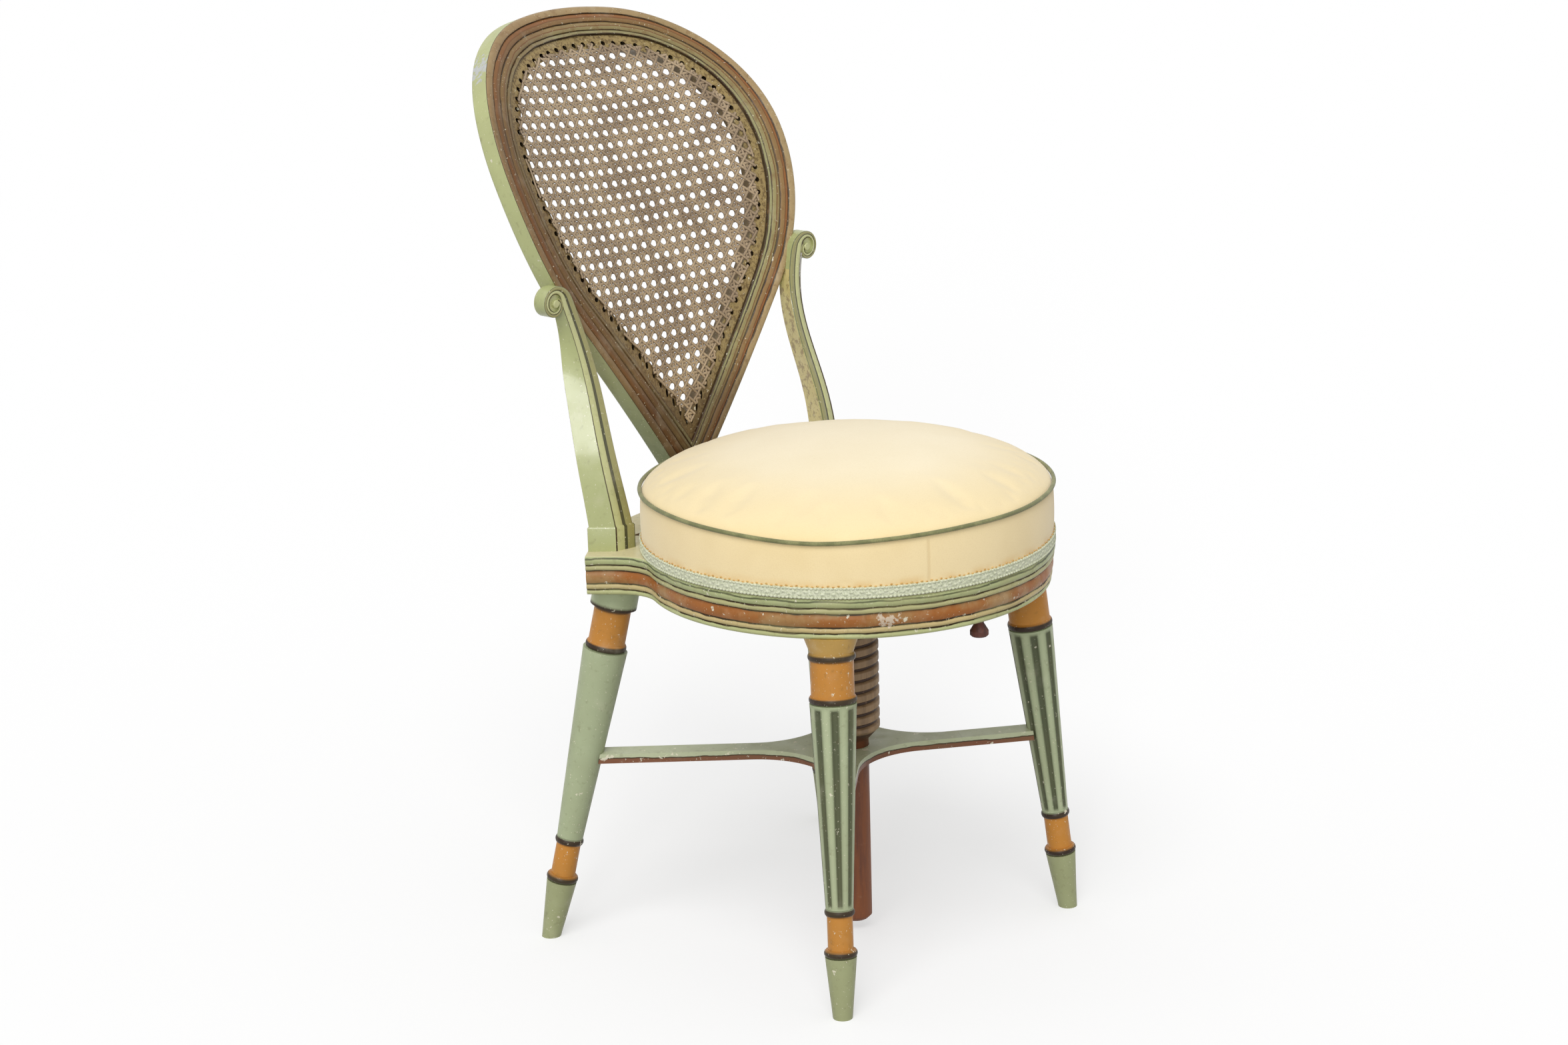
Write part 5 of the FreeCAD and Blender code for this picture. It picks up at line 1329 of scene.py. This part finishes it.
SKY = 0.62
SUNS = (("key", 1.3, math.radians(34), Vector((-0.86, -0.5, 1.5))),
        ("low_fill", 0.7, math.radians(12), Vector((-0.8, -0.53, 0.3))))
FLOOR_BOUNCE, FLOOR_SEEN, FLOOR_DUST, FLOOR_GLOW = 0.4, 0.97, 0.9, 0.5
FLOOR_REACH = 9.0


def seen_directly(tree):
    """One where a ray comes from the camera, a mirror or glass, so that these see the white."""
    rays = tree.node("ShaderNodeLightPath").outputs
    mirrored = tree.math("MAXIMUM", rays["Is Glossy Ray"], rays["Is Transmission Ray"])
    return tree.math("MAXIMUM", rays["Is Camera Ray"], mirrored)


def add_world():
    world = bpy.data.worlds.new("studio")
    world.use_nodes = True
    tree = Tree(world.node_tree)
    background = world.node_tree.nodes["Background"]
    background.inputs["Color"].default_value = grey(1.0)
    strength = tree.node("ShaderNodeMapRange", seen_directly(tree), 0.0, 1.0, SKY, 1.0)
    tree.put(background.inputs["Strength"], strength.outputs[0])
    bpy.context.scene.world = world


def add_suns():
    for name, energy, angle, direction in SUNS:
        data = bpy.data.lights.new(name, "SUN")
        data.energy = energy
        data.angle = angle
        add_object(name, data).rotation_euler = direction.to_track_quat("Z", "Y").to_euler()


def add_floor():
    """A white floor that keeps a faint shadow and throws little light back up."""
    graph = Graph("studio_floor", Roughness=0.9, Specular_IOR_Level=0.0)
    seen = seen_directly(graph)
    white = graph.mix(graph.blotches(3, 2, 0.3, 0.7, 0.02), grey(FLOOR_SEEN), grey(FLOOR_DUST))
    graph.colour(grey(FLOOR_BOUNCE), (seen, white))
    glow = graph.node("ShaderNodeEmission").outputs[0]
    blend = graph.node("ShaderNodeMixShader", graph.times(seen, FLOOR_GLOW), graph.shader.outputs[0], glow)
    graph.put(graph.tree.nodes["Material Output"].inputs["Surface"], blend.outputs[0])
    mesh = bpy.data.meshes.new("studio_floor")
    signs = ((-1, -1), (1, -1), (1, 1), (-1, 1))
    mesh.from_pydata([(x * FLOOR_REACH, y * FLOOR_REACH, 0) for x, y in signs], [], [(0, 1, 2, 3)])
    mesh.materials.append(graph.material)
    floor = add_object("studio_floor", mesh)


add_world()
add_suns()
add_floor()
bpy.context.scene.view_settings.view_transform = "Standard"
